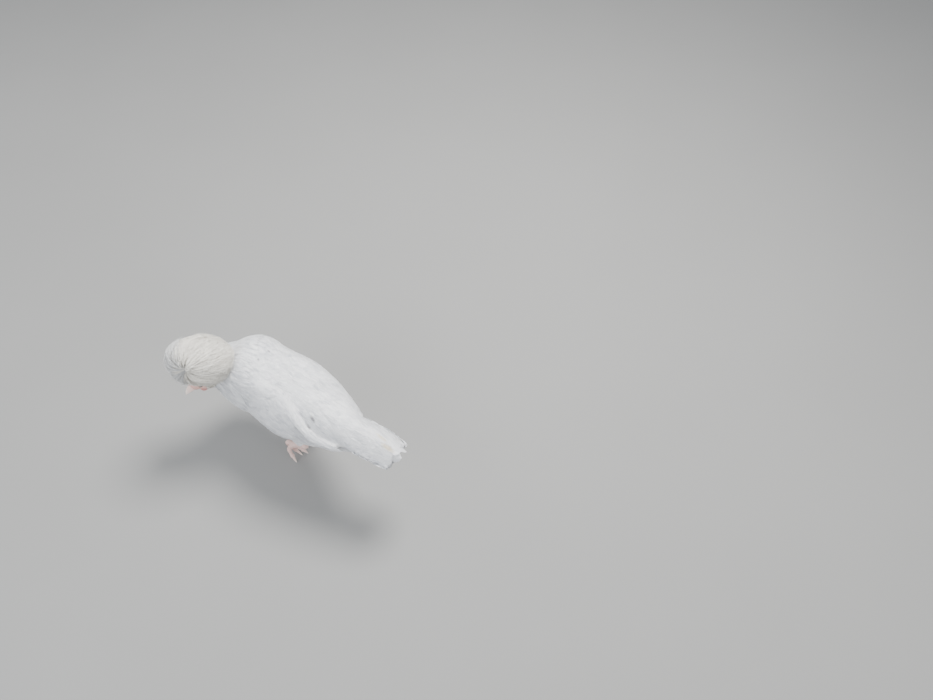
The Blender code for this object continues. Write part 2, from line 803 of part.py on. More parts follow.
# Wing feathers: place along Y and angle from the top, in degrees, of each root and each tip
SECONDARIES = (
    ((-0.024, 34), (0.040, 23)),
    ((-0.018, 44), (0.053, 35)),
    ((-0.012, 54), (0.066, 47)),
    ((-0.006, 64), (0.078, 58)),
    ((0.000, 74), (0.088, 68)),
    ((0.006, 84), (0.098, 78)),
    ((0.012, 94), (0.106, 88)),
)
PRIMARIES = (
    ((0.016, 88), (0.147, 82)),
    ((0.013, 98), (0.144, 89)),
    ((0.010, 107), (0.136, 97)),
)
COVERTS = (
    ((-0.036, 50), (0.014, 30)),
    ((-0.034, 60), (0.022, 43)),
    ((-0.032, 69), (0.030, 56)),
    ((-0.030, 78), (0.037, 69)),
    ((-0.028, 88), (0.043, 82)),
    ((-0.026, 97), (0.046, 95)),
)
SECONDARY_LIFT = ((0.0, 0.0038), (0.4, 0.0084), (1.0, 0.0086))
PRIMARY_LIFT = ((0.0, 0.0036), (0.4, 0.0042), (0.75, 0.0062), (1.0, 0.0080))
COVERT_LIFT = ((0.0, 0.0045), (0.45, 0.0116), (1.0, 0.0116))
# How much lower each next feather of a tier lies
SECONDARY_STEP = 0.0003
PRIMARY_STEP = 0.0011
COVERT_STEP = 0.0003
SECONDARY_HALF_WIDTH = 0.0093
PRIMARY_HALF_WIDTH = 0.0080
COVERT_HALF_WIDTH = 0.0096
WING_ROLL = math.radians(10)
VANE_POINTS = 5
VANE_THICKNESS = 0.0008
VANE_PROFILE = ((0.0, 0.45), (0.3, 0.95), (0.6, 1.0), (0.85, 0.86), (1.0, 0.34))


def wing_shell(name, sign, shape, edge_depth, grow=0.0, material=None):
    """A shell that lies on the side of the torso, inside the outline of a folded wing."""
    front, rear, upper, lower, depths = shape
    along, across = 8, 7
    inner, outer = [], []
    for i in range(along):
        share = i / (along - 1)
        y = front - grow + (rear - front + 2 * grow) * share
        top = math.radians(smooth_table(upper, share)[1])
        bottom = math.radians(smooth_table(lower, share)[1])
        depth = smooth_table(depths, share)[1]
        for k in range(across):
            v = k / (across - 1)
            angle = (top + (bottom - top) * v + grow * WING_GROW_TURN * (2 * v - 1)) * sign
            bulge = edge_depth + depth * math.sqrt(max(0.0, 1 - (2 * v - 1) ** 2))
            inner.append(torso_point(y, angle, WING_STAND_OFF - grow))
            outer.append(torso_point(y, angle, WING_STAND_OFF + bulge + grow))
    count = along * across
    faces = []
    for i in range(along - 1):
        for k in range(across - 1):
            a = i * across + k
            b, c, d = a + 1, a + across + 1, a + across
            faces.append((a, d, c, b))
            faces.append((count + a, count + b, count + c, count + d))
    for k in range(across - 1):
        faces.append((k, k + 1, count + k + 1, count + k))
        end = (along - 1) * across + k
        faces.append((end, count + end, count + end + 1, end + 1))
    for i in range(along - 1):
        for k in (0, across - 1):
            a, d = i * across + k, (i + 1) * across + k
            face = (a, count + a, count + d, d)
            faces.append(face if k == 0 else tuple(reversed(face)))
    return outward(mesh_object(name, inner + outer, faces, material))


def wing_tier(rows, lifts, step, half_width, roll, sign, dice):
    """One tier of wing feathers, each over the next one down."""
    vanes = []
    for place, ((root_y, root_turn), (tip_y, tip_turn)) in enumerate(rows):
        tip_y += dice.uniform(-0.0015, 0.0015)
        points, normals = [], []
        for t in spread(0.0, 1.0, VANE_POINTS):
            y = root_y + (tip_y - root_y) * t
            angle = math.radians(root_turn + (tip_turn - root_turn) * t) * sign
            points.append(torso_point(y, angle, smooth_table(lifts, t)[1] - step * place))
            normals.append((torso_point(y, angle, 0.01) - torso_point(y, angle, 0.0)).normalized())
        half = half_width * dice.uniform(0.96, 1.04)
        outline = widths(VANE_PROFILE, half, VANE_POINTS)
        vanes.append(feather("vane", points, normals, outline, VANE_THICKNESS, roll * sign))
    return vanes


def add_wing(side, sign, materials):
    """The shell of the shoulder and three tiers of feathers that leave it."""
    dice = random.Random(SEED + 2)
    wing = wing_shell(f"wing_{side}", sign, WING_CORE, WING_EDGE_DEPTH, 0.0, materials["plumage"])
    vanes = wing_tier(
        SECONDARIES, SECONDARY_LIFT, SECONDARY_STEP, SECONDARY_HALF_WIDTH, WING_ROLL, sign, dice
    )
    vanes += wing_tier(PRIMARIES, PRIMARY_LIFT, PRIMARY_STEP, PRIMARY_HALF_WIDTH, 0.0, sign, dice)
    vanes += wing_tier(COVERTS, COVERT_LIFT, COVERT_STEP, COVERT_HALF_WIDTH, WING_ROLL, sign, dice)
    union(wing, vanes)


# Tail feathers: slope of the tent, how the stack steps down and inward, and the covert tiers
TAIL_RIDGE = (0.1880, 0.1700)
TAIL_CORE_END = 0.190
TAIL_CORE_SIDES = 16
TAIL_ROOT_Y = 0.157
TAIL_SLOPE = math.radians(57)
TAIL_PAIRS = 6
TAIL_TIP_STEP = 0.0070
TAIL_ROOT_STEP = 0.0048
TAIL_TIP_RETREAT = 0.0032
TAIL_UNDER_STEP = 0.0013
TAIL_HALF_WIDTH = 0.0078
TAIL_COVERT_STEP = 0.0095
TAIL_COVERT_UNDER_STEP = 0.0011
TAIL_COVERT_ROOT_Y = 0.1525
# The left side laps over the ridge and the right side stops short of it
RIDGE_LAP = 0.0010
# Coverts: how many a side, lift off the long feathers, place of the tips, half width
TAIL_COVERT_TIERS = ((3, 0.0034, 0.206, 0.0088), (2, 0.0068, 0.191, 0.0092))


def tail_vane(sign, down_root, down_tip, lift, root_y, tip_y, half):
    """A feather that lies along one slope of the tail's tent."""
    slope = Vector((math.cos(TAIL_SLOPE) * sign, 0, -math.sin(TAIL_SLOPE)))
    outside = Vector((math.sin(TAIL_SLOPE) * sign, 0, math.cos(TAIL_SLOPE)))
    points = []
    for t in spread(0.0, 1.0, VANE_POINTS):
        y = root_y + (tip_y - root_y) * t
        share = (y - TAIL_START) / (TAIL_TIP_Y - TAIL_START)
        ridge = TAIL_RIDGE[0] + (TAIL_RIDGE[1] - TAIL_RIDGE[0]) * share
        down = down_root + (down_tip - down_root) * t
        top = Vector((bend(y), y, ridge))
        points.append(top + slope * down + outside * lift * min(1.0, 0.4 + 2 * t))
    outline = widths(VANE_PROFILE, half, VANE_POINTS)
    return feather("vane", points, [outside] * VANE_POINTS, outline, VANE_THICKNESS)


def add_tail(materials):
    """A short core on the rump, the long feathers as a tent, and two tiers of coverts over them."""
    dice = random.Random(SEED + 3)
    _, z, half, rise, drop = smooth_table(TORSO_STATIONS, TAIL_START)
    rings = []
    for t in spread(0.0, 1.0, 6):
        y = TAIL_START + GAP + (TAIL_CORE_END - TAIL_START) * t
        middle = Vector((bend(y), y, z - 0.004 * t))
        size = 1 - 0.55 * t**1.5
        sizes = (half * size, rise * size, drop * size)
        rings.append(oval_ring(middle, Vector((1, 0, 0)), Vector((0, 0, 1)), *sizes, TAIL_CORE_SIDES))
    tail = outward(ring_tube("tail", rings, materials["plumage"]))
    vanes = []
    for sign in (1, -1):
        for j in range(TAIL_PAIRS):
            down = TAIL_HALF_WIDTH - RIDGE_LAP * sign + TAIL_TIP_STEP * j
            root = TAIL_HALF_WIDTH - RIDGE_LAP * sign + TAIL_ROOT_STEP * j
            lift = -TAIL_UNDER_STEP * j
            tip_y = TAIL_TIP_Y - TAIL_TIP_RETREAT * j + dice.uniform(-0.001, 0.001)
            vanes.append(tail_vane(sign, root, down, lift, TAIL_ROOT_Y, tip_y, TAIL_HALF_WIDTH))
        for count, lift, tip_y, half_width in TAIL_COVERT_TIERS:
            for j in range(count):
                down = half_width - RIDGE_LAP * sign + TAIL_COVERT_STEP * j
                root = half_width - RIDGE_LAP * sign + TAIL_COVERT_STEP * 0.6 * j
                end = tip_y - TAIL_TIP_RETREAT * j + dice.uniform(-0.0015, 0.0015)
                over = lift - TAIL_COVERT_UNDER_STEP * j
                vanes.append(tail_vane(sign, root, down, over, TAIL_COVERT_ROOT_Y, end, half_width))
    union(tail, vanes)
    cut(tail, [torso_shape("near_torso", GAP)])


THIGH_ROOT = Vector((0.027, -0.036, 0.034))
THIGH_RADIUS = 0.025
THIGH_TAPER = 0.0155


def add_thigh(side, hock, sign, materials):
    root = Vector((THIGH_ROOT.x * sign, hock.y + THIGH_ROOT.y, hock.z + THIGH_ROOT.z))
    points = spread(root, hock + Vector((0, 0, 0.002)), 7)
    radii = [THIGH_RADIUS - THIGH_TAPER * t**0.8 for t in spread(0.0, 1.0, 7)]
    thigh = tapered_tube(f"thigh_{side}", points, radii, 14, Vector((1, 0, 0)), materials["plumage"])
    outward(thigh)
    return thigh


SHANK_RADIUS = 0.0046
SHANK_SIDES = 10
SHANK_RINGS = 7
HUB_HEIGHT = 0.0085
TOE_LENGTHS = {"inner": 0.038, "middle": 0.050, "outer": 0.040, "hind": 0.017}
TOE_TURNS = {"inner": -42, "middle": 0, "outer": 40, "hind": 172}
TOE_RADIUS = 0.0044
TOE_TAPER = 0.0013
TOE_KNUCKLE = 0.0004
TOE_SIDES = 8
TOE_RINGS = 9
HUB_SIZE = (0.0066, 0.0068, 0.0068)
HUB_SINK = 0.001
CLAW_LENGTH = 0.0105
CLAW_RADIUS = 0.0026
CLAW_TIP = 0.0004
CLAW_RINGS = 5


def shank_ends(side):
    if side == "right":
        return RIGHT_HOCK, RIGHT_HUB + Vector((0, 0, HUB_HEIGHT))
    return LEFT_HOCK, LEFT_HUB


def shank_radii(grow):
    return [
        SHANK_RADIUS * (1 + 0.38 * (1 - t) ** 4 + 0.22 * t**5) + grow for t in spread(0.0, 1.0, SHANK_RINGS)
    ]


def add_shank(side, materials):
    hock, hub = shank_ends(side)
    start = hock + (hub - hock).normalized() * -0.004
    points = spread(start, hub, SHANK_RINGS)
    radii = shank_radii(0.0)
    return outward(
        tapered_tube(f"shank_{side}", points, radii, SHANK_SIDES, Vector((1, 0, 0)), materials["leg"])
    )


def toe_line(side, toe):
    """Middle line of a toe from the hub to the root of its claw, and of the claw."""
    length = TOE_LENGTHS[toe]
    total = length + CLAW_LENGTH
    if side == "right":
        turn = math.radians(TOE_TURNS[toe])
        ahead = Vector((-math.sin(turn), -math.cos(turn), 0))
        hub = RIGHT_HUB + Vector((0, 0, HUB_HEIGHT))
        line = []
        for t in spread(0.0, 1.0, 12):
            reach = total * t
            arch = HUB_HEIGHT * (1 - min(1.0, reach / 0.016)) ** 1.5
            level = 0.0038 - 0.0008 * t + arch * 0.55
            end = max(0.0, (reach - length) / CLAW_LENGTH)
            level += 0.0016 * math.sin(math.pi * min(1.0, end)) - 0.0024 * end**2
            line.append(Vector((hub.x, hub.y, 0)) + ahead * reach + Vector((0, 0, level)))
        return line, length / total
    return left_toe_line(toe, total), length / total


def left_toe_line(toe, total):
    """A lifted foot: the toes hang down and back, and their claws just reach the floor."""
    spreads = {"inner": -0.020, "middle": -0.004, "outer": 0.012, "hind": 0.0}
    hub = LEFT_HUB
    if toe == "hind":
        end = hub + Vector((-0.004, 0.019, -0.020))
        bend = hub + Vector((-0.001, 0.011, -0.007))
        return [curve_point((hub, bend, end), t) for t in spread(0.0, 1.0, 10)]
    aside = spreads[toe]
    drop = hub.z - 0.0012
    bow = math.sqrt(max(0.0, total**2 - drop**2 - aside**2)) * 0.55
    bend = hub + Vector((aside * 0.5, -bow, -drop * 0.48))
    end = hub + Vector((aside, 0.002, -drop))
    return [curve_point((hub, bend, end), t) for t in spread(0.0, 1.0, 14)]


def toe_and_claw_rings(side, toe, grow=0.0):
    """Rings of a toe with its knuckles, and of the claw that meets its flat end across the gap."""
    line, share = toe_line(side, toe)
    knuckles = 2 if toe == "hind" else 3
    up = Vector((1, 0, 0)) if side == "left" else Vector((0, 0, 1))
    toe_points = [curve_point(line, share * t) for t in spread(0.0, 1.0, TOE_RINGS)]
    claw_points = [curve_point(line, share + (1 - share) * t) for t in spread(0.0, 1.0, CLAW_RINGS)]
    toe_radii = []
    for t in spread(0.0, 1.0, TOE_RINGS):
        knuckle = TOE_KNUCKLE * math.cos(2 * math.pi * t * knuckles)
        toe_radii.append(TOE_RADIUS - TOE_TAPER * t + knuckle + grow)
    claw_radii = [CLAW_RADIUS * (1 - t) ** 0.7 + CLAW_TIP for t in spread(0.0, 1.0, CLAW_RINGS)]
    points = toe_points + claw_points[1:]
    frames = line_frames(points, up)
    toe_rings, claw_rings = [], []
    for i, radius in enumerate(toe_radii):
        _, aside, across = frames[i]
        toe_rings.append(oval_ring(points[i], aside, across, radius, radius, radius, TOE_SIDES))
    for i, radius in enumerate(claw_radii):
        tangent, aside, across = frames[TOE_RINGS - 1 + i]
        place = points[TOE_RINGS - 1 + i] + tangent * (GAP if i == 0 else 0.0)
        claw_rings.append(oval_ring(place, aside, across, radius, radius, radius, TOE_SIDES))
    return toe_rings, claw_rings


def foot_pieces(side, grow=0.0, material=None):
    """The hub as a ball and the four toes, grown by a margin."""
    hock, hub = shank_ends(side)
    downward = (hub - hock).normalized()
    across = Vector((1, 0, 0))
    axes = (downward, across, across.cross(downward))
    sizes = tuple(size + grow for size in HUB_SIZE)
    pieces = [ellipsoid(f"foot_{side}", hub + downward * HUB_SINK, axes, sizes, 12, 6, material)]
    for toe in TOE_TURNS:
        pieces.append(ring_tube("toe", toe_and_claw_rings(side, toe, grow)[0]))
    return pieces


def add_foot(side, materials):
    """Hub and toes as one piece, flat where they rest, and a claw on each toe."""
    foot, *toes = foot_pieces(side, 0.0, materials["leg"])
    union(foot, toes)
    cut(foot, [floor_block()])
    for toe in TOE_TURNS:
        rings = toe_and_claw_rings(side, toe)[1]
        claw = outward(ring_tube(f"claw_{side}_{toe}", rings, materials["horn"]))
        cut(claw, [floor_block()])


def floor_block():
    """All that would reach below the floor."""
    size, depth = 1.0, 0.1
    corners = ((-1, -1), (1, -1), (1, 1), (-1, 1))
    points = [Vector((x * size, y * size, z)) for z in (-depth, 0.0) for x, y in corners]
    faces = [(3, 2, 1, 0), (4, 5, 6, 7), (0, 1, 5, 4), (1, 2, 6, 5), (2, 3, 7, 6), (3, 0, 4, 7)]
    return outward(mesh_object("below_floor", points, faces))


def add_legs(materials):
    for side, sign in (("left", 1), ("right", -1)):
        hock, hub = shank_ends(side)
        shank = add_shank(side, materials)
        cut(shank, foot_pieces(side, GAP))
        add_foot(side, materials)
        thigh = add_thigh(side, hock, sign, materials)
        start = hock + (hub - hock).normalized() * -0.004
        points = spread(start, hub, SHANK_RINGS)
        points[0] = start + (start - hub).normalized() * GAP
        near_shank = outward(
            tapered_tube("near_shank", points, shank_radii(GAP), SHANK_SIDES, Vector((1, 0, 0)))
        )
        near_wing = wing_shell("near_wing", sign, WING_ROOM, ROOM_EDGE_DEPTH, GAP)
        cut(thigh, [torso_shape("near_torso", GAP), near_wing, near_shank])


def make_materials():
    white = (0.86, 0.86, 0.85)
    return {
        "plumage": make_material("white_feather", white, 0.75),
        "crest": make_material("crest_feather", (0.84, 0.83, 0.79), 0.78),
        "face": make_material("face_skin", (0.80, 0.55, 0.50), 0.6),
        "comb": make_material("comb_skin", (0.72, 0.34, 0.32), 0.5),
        "earlobe": make_material("earlobe_skin", (0.88, 0.84, 0.80), 0.55),
        "horn": make_material("horn", (0.85, 0.72, 0.66), 0.4),
        "leg": make_material("leg_scale", (0.82, 0.66, 0.62), 0.5),
        "eye": make_material("eye", (0.16, 0.07, 0.03), 0.08),
    }


def shade_smooth(obj):
    obj.data.shade_smooth()
    obj.data.set_sharp_from_angle(angle=math.radians(40))


def move_to_origin():
    """Puts the middle of the bottom of the whole bounding box at the origin."""
    corners = [v.co for obj in bpy.data.objects for v in obj.data.vertices]
    low = Vector([min(c[i] for c in corners) for i in range(3)])
    high = Vector([max(c[i] for c in corners) for i in range(3)])
    middle = Vector(((low.x + high.x) / 2, (low.y + high.y) / 2, low.z))
    for obj in bpy.data.objects:
        for vertex in obj.data.vertices:
            vertex.co -= middle
    print("moved by", [round(-c, 6) for c in middle], "size", [round(c, 5) for c in high - low])


def main():
    clear_scene()
    materials = make_materials()
    add_torso(materials)
    add_head(materials)
    eyes(0.0, materials["eye"])
    add_beak(materials)
    add_comb(materials)
    add_lobes(materials)
    add_neck(materials)
    add_crest(materials)
    add_wing("left", 1, materials)
    add_wing("right", -1, materials)
    add_tail(materials)
    add_legs(materials)
    for obj in bpy.data.objects:
        outward(obj)
        shade_smooth(obj)
    move_to_origin()


main()
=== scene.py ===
import math

import bpy
import numpy as np
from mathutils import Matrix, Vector, noise
from mathutils.bvhtree import BVHTree
from mathutils.kdtree import KDTree


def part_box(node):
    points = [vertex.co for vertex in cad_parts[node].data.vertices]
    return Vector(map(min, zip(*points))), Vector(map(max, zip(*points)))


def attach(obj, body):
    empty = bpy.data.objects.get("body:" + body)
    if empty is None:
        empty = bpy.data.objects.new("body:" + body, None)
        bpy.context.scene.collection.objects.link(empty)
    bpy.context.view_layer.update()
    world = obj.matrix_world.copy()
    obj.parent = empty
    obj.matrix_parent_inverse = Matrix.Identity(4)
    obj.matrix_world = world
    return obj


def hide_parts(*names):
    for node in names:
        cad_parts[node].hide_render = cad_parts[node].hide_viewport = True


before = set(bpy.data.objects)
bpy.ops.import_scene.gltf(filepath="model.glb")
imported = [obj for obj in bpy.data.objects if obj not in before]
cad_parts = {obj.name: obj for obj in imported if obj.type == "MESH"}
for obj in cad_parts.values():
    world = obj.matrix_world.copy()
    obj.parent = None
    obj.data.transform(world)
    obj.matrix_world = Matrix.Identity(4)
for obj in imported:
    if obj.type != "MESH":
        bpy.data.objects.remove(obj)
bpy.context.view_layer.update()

# The hen is described as in the part's source: x to its left, y to its tail, z up, midline x = 0.
# Each piece is moved by SHIFT when its mesh is made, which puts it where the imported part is.
SEED = 11

# Torso: place along the body, height of its middle, half its width, and how far it rises and drops
TORSO_STATIONS = (
    (-0.118, 0.145, 0.010, 0.008, 0.010),
    (-0.112, 0.145, 0.027, 0.022, 0.027),
    (-0.095, 0.145, 0.046, 0.043, 0.047),
    (-0.060, 0.146, 0.057, 0.067, 0.063),
    (-0.010, 0.144, 0.051, 0.064, 0.064),
    (0.040, 0.144, 0.049, 0.060, 0.059),
    (0.080, 0.149, 0.042, 0.051, 0.053),
    (0.115, 0.157, 0.034, 0.038, 0.044),
    (0.150, 0.162, 0.024, 0.027, 0.034),
    (0.168, 0.158, 0.015, 0.010, 0.022),
    (0.174, 0.156, 0.007, 0.004, 0.010),
)
# Place along the body, and how far its midline stands to the left there
BODY_BEND = (
    (-0.118, -0.001),
    (-0.060, -0.005),
    (-0.010, -0.003),
    (0.040, 0.000),
    (0.080, 0.002),
    (0.115, 0.005),
    (0.150, 0.008),
    (0.170, 0.006),
    (0.190, 0.003),
    (0.232, 0.000),
)

HEAD_MIDDLE = np.array((0.060, -0.1045, 0.178))
HEAD_TURN = math.radians(63)
HEAD_DIP = math.radians(22)
# Skull: place along the head, rise of its middle, half its width and half its height
SKULL_STATIONS = (
    (-0.0250, -0.0010, 0.0040, 0.0050),
    (-0.0225, -0.0010, 0.0090, 0.0110),
    (-0.0150, 0.0000, 0.0140, 0.0165),
    (-0.0040, 0.0000, 0.0158, 0.0180),
    (0.0070, -0.0010, 0.0138, 0.0160),
    (0.0140, -0.0022, 0.0105, 0.0122),
    (0.0185, -0.0030, 0.0078, 0.0092),
    (0.0200, -0.0032, 0.0060, 0.0074),
)
# Beak, eyes, earlobes, wattles and comb, with places given forward, left and up of the head's middle
BEAK_LENGTH = 0.0215
BEAK_ROOT = 0.0150
BEAK_HALF_WIDTH = 0.0068
BEAK_RISE = 0.0078
BEAK_DROP = 0.0052
MOUTH_LEVEL = -0.0052
EYE_RADIUS = 0.0052
EYE_PLACE = (0.0035, 0.0120, 0.0035)
EARLOBE_PLACE = (-0.0100, 0.0142, -0.0108)
WATTLE_PLACE = (0.0100, 0.0042, -0.0190)
COMB_PLACE = (0.0125, 0.0045, 0.0090)
COMB_HORN = 0.0085
COMB_RADIUS = 0.0024
EARLOBE_SIZES = (0.0046, 0.0030, 0.0054)
WATTLE_SIZES = (0.0048, 0.0018, 0.0078)

# The neck's middle line from the shoulders to the skull, and its radii there
NECK_LINE = ((-0.003, -0.060, 0.152), (0.008, -0.079, 0.162), (0.031, -0.096, 0.167), (0.047, -0.100, 0.177))
NECK_RADII = (0.038, 0.038, 0.031, 0.0150)

# The crest's ball, its longer way over the ground, and the way to the whorl that its feathers leave
CREST_MIDDLE = np.array((0.0470, -0.1070, 0.2068))
CREST_LONG_AXIS = np.array((0.530, -0.848, 0.0))
CREST_HALF_SIZES = (0.0505, 0.0385, 0.0380)
CREST_WHORL = np.array((0.93, 0.10, 0.32))

# Each hub is where the toes meet, each hock is the shank's upper end
RIGHT_HUB = np.array((-0.026, 0.004, 0.0))
RIGHT_HOCK = np.array((-0.031, 0.036, 0.073))
LEFT_HUB = np.array((0.027, 0.026, 0.044))
LEFT_HOCK = np.array((0.038, 0.063, 0.094))
HUB_HEIGHT = 0.0085

TAIL_START = 0.150
TAIL_TIP_Y = 0.232

UP = np.array((0.0, 0.0, 1.0))
LEFT = np.array((1.0, 0.0, 0.0))
BACK = np.array((0.0, 1.0, 0.0))


def unit(v):
    """Directions of length 1, for one vector or an array of them."""
    v = np.asarray(v, float)
    return v / np.maximum(np.linalg.norm(v, axis=-1, keepdims=True), 1e-12)


def smooth_rows(table, places):
    """Rows of a table at many places along its first column, on a smooth curve through the rows."""
    rows = np.array(table, float)
    keys = rows[:, 0]
    places = np.clip(np.asarray(places, float), keys[0], keys[-1])
    index = np.clip(np.searchsorted(keys, places) - 1, 0, len(keys) - 2)
    slopes = np.gradient(rows, keys, axis=0)
    step = (keys[index + 1] - keys[index])[..., None]
    t = (places[..., None] - keys[index][..., None]) / step
    start, end = rows[index], rows[index + 1]
    return (
        (2 * t**3 - 3 * t**2 + 1) * start
        + (t**3 - 2 * t**2 + t) * step * slopes[index]
        + (3 * t**2 - 2 * t**3) * end
        + (t**3 - t**2) * step * slopes[index + 1]
    )


def profile(table, places):
    """The second column of a table at places along its first."""
    return smooth_rows(table, places)[..., 1]


def bend(y):
    """How far the body's midline stands to its left at places along the body."""
    return profile(BODY_BEND, y)


def curve_points(points, places):
    """Points of the smooth curve through a few points, places from 0 to 1."""
    rows = [(i / (len(points) - 1), *p) for i, p in enumerate(points)]
    return smooth_rows(rows, places)[..., 1:]


def head_axes():
    """Forward, left and up of the head."""
    forward = np.array(
        (
            math.cos(HEAD_DIP) * math.sin(HEAD_TURN),
            -math.cos(HEAD_DIP) * math.cos(HEAD_TURN),
            -math.sin(HEAD_DIP),
        )
    )
    left = unit(np.cross(UP, forward))
    return forward, left, np.cross(forward, left)


HEAD_AXES = head_axes()


def on_head(forward, left, up):
    """The place that lies this far forward, left and up of the head's middle."""
    return HEAD_MIDDLE + HEAD_AXES[0] * forward + HEAD_AXES[1] * left + HEAD_AXES[2] * up


def in_head(points):
    """Points given along the head's own forward, left and up."""
    return (np.asarray(points) - HEAD_MIDDLE) @ np.array(HEAD_AXES).T


eye_low, eye_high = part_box("eye_left")
SHIFT = np.array((eye_low + eye_high) / 2) - on_head(*EYE_PLACE)


# Meshes


def solid(name, points, faces, material=None, smooth=True):
    """An object from points in the hen's own frame and faces of any size."""
    mesh = bpy.data.meshes.new(name)
    mesh.from_pydata([tuple(p) for p in np.asarray(points, float) + SHIFT], [], [tuple(f) for f in faces])
    mesh.update()
    if smooth:
        mesh.shade_smooth()
    if material:
        mesh.materials.append(material)
    made = bpy.data.objects.new(name, mesh)
    bpy.context.scene.collection.objects.link(made)
    face_outward(made)
    return made


def face_outward(made):
    """Turns a closed mesh the right side out."""
    mesh = made.data
    count = len(mesh.vertices)
    co = np.empty(count * 3)
    mesh.vertices.foreach_get("co", co)
    co = co.reshape(-1, 3)
    mesh.calc_loop_triangles()
    corners = np.empty(len(mesh.loop_triangles) * 3, np.int32)
    mesh.loop_triangles.foreach_get("vertices", corners)
    a, b, c = (co[corners.reshape(-1, 3)[:, i]] for i in range(3))
    if np.einsum("ij,ij->i", a, np.cross(b, c)).sum() < 0:
        mesh.flip_normals()


def point_values(mesh, **values):
    """Keeps numbers on a mesh's points for the materials to read."""
    for key, numbers in values.items():
        mesh.attributes.new(key, "FLOAT", "POINT").data.foreach_set("value", np.asarray(numbers, np.float32))


def big_mesh(name, points, triangles, material, values, patches, corners):
    """A piece of many triangles, with values per point, the OFBake map and a soft direction per corner."""
    mesh = bpy.data.meshes.new(name)
    mesh.vertices.add(len(points))
    mesh.vertices.foreach_set("co", (np.asarray(points) + SHIFT).astype(np.float32).ravel())
    count = len(triangles)
    mesh.loops.add(count * 3)
    mesh.polygons.add(count)
    mesh.loops.foreach_set("vertex_index", np.asarray(triangles, np.int32).ravel())
    mesh.polygons.foreach_set("loop_start", np.arange(0, count * 3, 3, dtype=np.int32))
    mesh.polygons.foreach_set("loop_total", np.full(count, 3, np.int32))
    mesh.update(calc_edges=True)
    mesh.shade_smooth()
    point_values(mesh, **values)
    layer = mesh.uv_layers.new(name="OFBake")
    layer.data.foreach_set("uv", patches[np.asarray(triangles).ravel()].astype(np.float32).ravel())
    mesh.attributes.new("custom_normal", "FLOAT_VECTOR", "CORNER").data.foreach_set(
        "vector", corners.astype(np.float32).ravel()
    )
    mesh.update()
    mesh.materials.append(material)
    made = bpy.data.objects.new(name, mesh)
    bpy.context.scene.collection.objects.link(made)
    return made


def loft(name, rings, material=None):
    """A closed skin over rings of equal count."""
    rings = np.asarray(rings, float)
    steps, count = rings.shape[:2]
    faces = []
    for i in range(steps - 1):
        for k in range(count):
            low, high, after = i * count, (i + 1) * count, (k + 1) % count
            faces.append((low + k, low + after, high + after, high + k))
    faces.append(tuple(reversed(range(count))))
    faces.append(tuple(range((steps - 1) * count, steps * count)))
    return solid(name, rings.reshape(-1, 3), faces, material)


def ovals(middles, sides, ups, half_widths, rises, drops, count):
    """Rings that are wide along sides and tall along ups."""
    turns = 2 * np.pi * np.arange(count) / count
    sine, cosine = np.sin(turns)[None, :, None], np.cos(turns)[None, :, None]
    heights = np.where(cosine > 0, np.asarray(rises)[:, None, None], np.asarray(drops)[:, None, None])
    across = np.asarray(sides)[:, None, :] * np.asarray(half_widths)[:, None, None] * sine
    return np.asarray(middles)[:, None, :] + across + np.asarray(ups)[:, None, :] * heights * cosine


def line_frames(points, up):
    """Sides and ups along a line."""
    tangents = unit(np.gradient(points, axis=0))
    sides = unit(np.cross(tangents, up))
    return sides, np.cross(sides, tangents)


def tube(name, points, radii, count, up=UP, material=None):
    """A round limb along a line."""
    sides, ups = line_frames(points, up)
    return loft(name, ovals(points, sides, ups, radii, radii, radii, count), material)


def ball(name, middle, axes, sizes, sides=24, rings=16, material=None):
    """An ellipsoid with half sizes along its own three axes."""
    turns = np.pi * np.arange(1, rings) / rings
    middles = np.asarray(middle) - np.outer(np.cos(turns) * sizes[0], axes[0])
    size = np.sin(turns)
    along = np.ones((rings - 1, 1))
    return loft(
        name,
        ovals(middles, along * axes[1], along * axes[2], size * sizes[1], size * sizes[2], size * sizes[2], sides),
        material,
    )


def baked_down(made):
    """Puts an object's modifiers into its mesh."""
    graph = bpy.context.evaluated_depsgraph_get()
    mesh = bpy.data.meshes.new_from_object(made.evaluated_get(graph))
    made.modifiers.clear()
    made.data = mesh


def boolean(base, other, operation):
    """Joins another closed piece to a base, or cuts it out, and removes it."""
    modifier = base.modifiers.new("join", "BOOLEAN")
    modifier.operation = operation
    modifier.solver = "EXACT"
    modifier.object = other
    baked_down(base)
    bpy.data.objects.remove(other, do_unlink=True)
    return base


def points_of(made):
    """A piece's points in the hen's own frame."""
    co = np.empty(len(made.data.vertices) * 3)
    made.data.vertices.foreach_get("co", co)
    return co.reshape(-1, 3) - SHIFT


def face_arrays(made):
    """A piece's face middles, normals and areas in the hen's own frame."""
    mesh = made.data
    count = len(mesh.polygons)
    middles, normals, areas = np.empty(count * 3), np.empty(count * 3), np.empty(count)
    mesh.polygons.foreach_get("center", middles)
    mesh.polygons.foreach_get("normal", normals)
    mesh.polygons.foreach_get("area", areas)
    return middles.reshape(-1, 3) - SHIFT, normals.reshape(-1, 3), areas


def tree_of(made):
    """A search tree over a mesh, in the hen's own frame."""
    mesh = made.data
    points = [v.co - Vector(SHIFT) for v in mesh.vertices]
    return BVHTree.FromPolygons(points, [tuple(f.vertices) for f in mesh.polygons])


# Feathers: each is a thin closed vane of four points a section, or a strand of three

PATCH = 0.003
BARB_SLANT = 0.8
VANE_THICKNESS = 0.00018
VANE_RING = np.array(((-1.0, 0.0, -1.0), (0.0, 1.0, 0.0), (1.0, 0.0, -1.0), (0.0, -1.0, 0.0)))
STRAND_RING = np.array(((-1.0, -0.5, 0.0), (0.0, 1.0, 0.0), (1.0, -0.5, 0.0)))


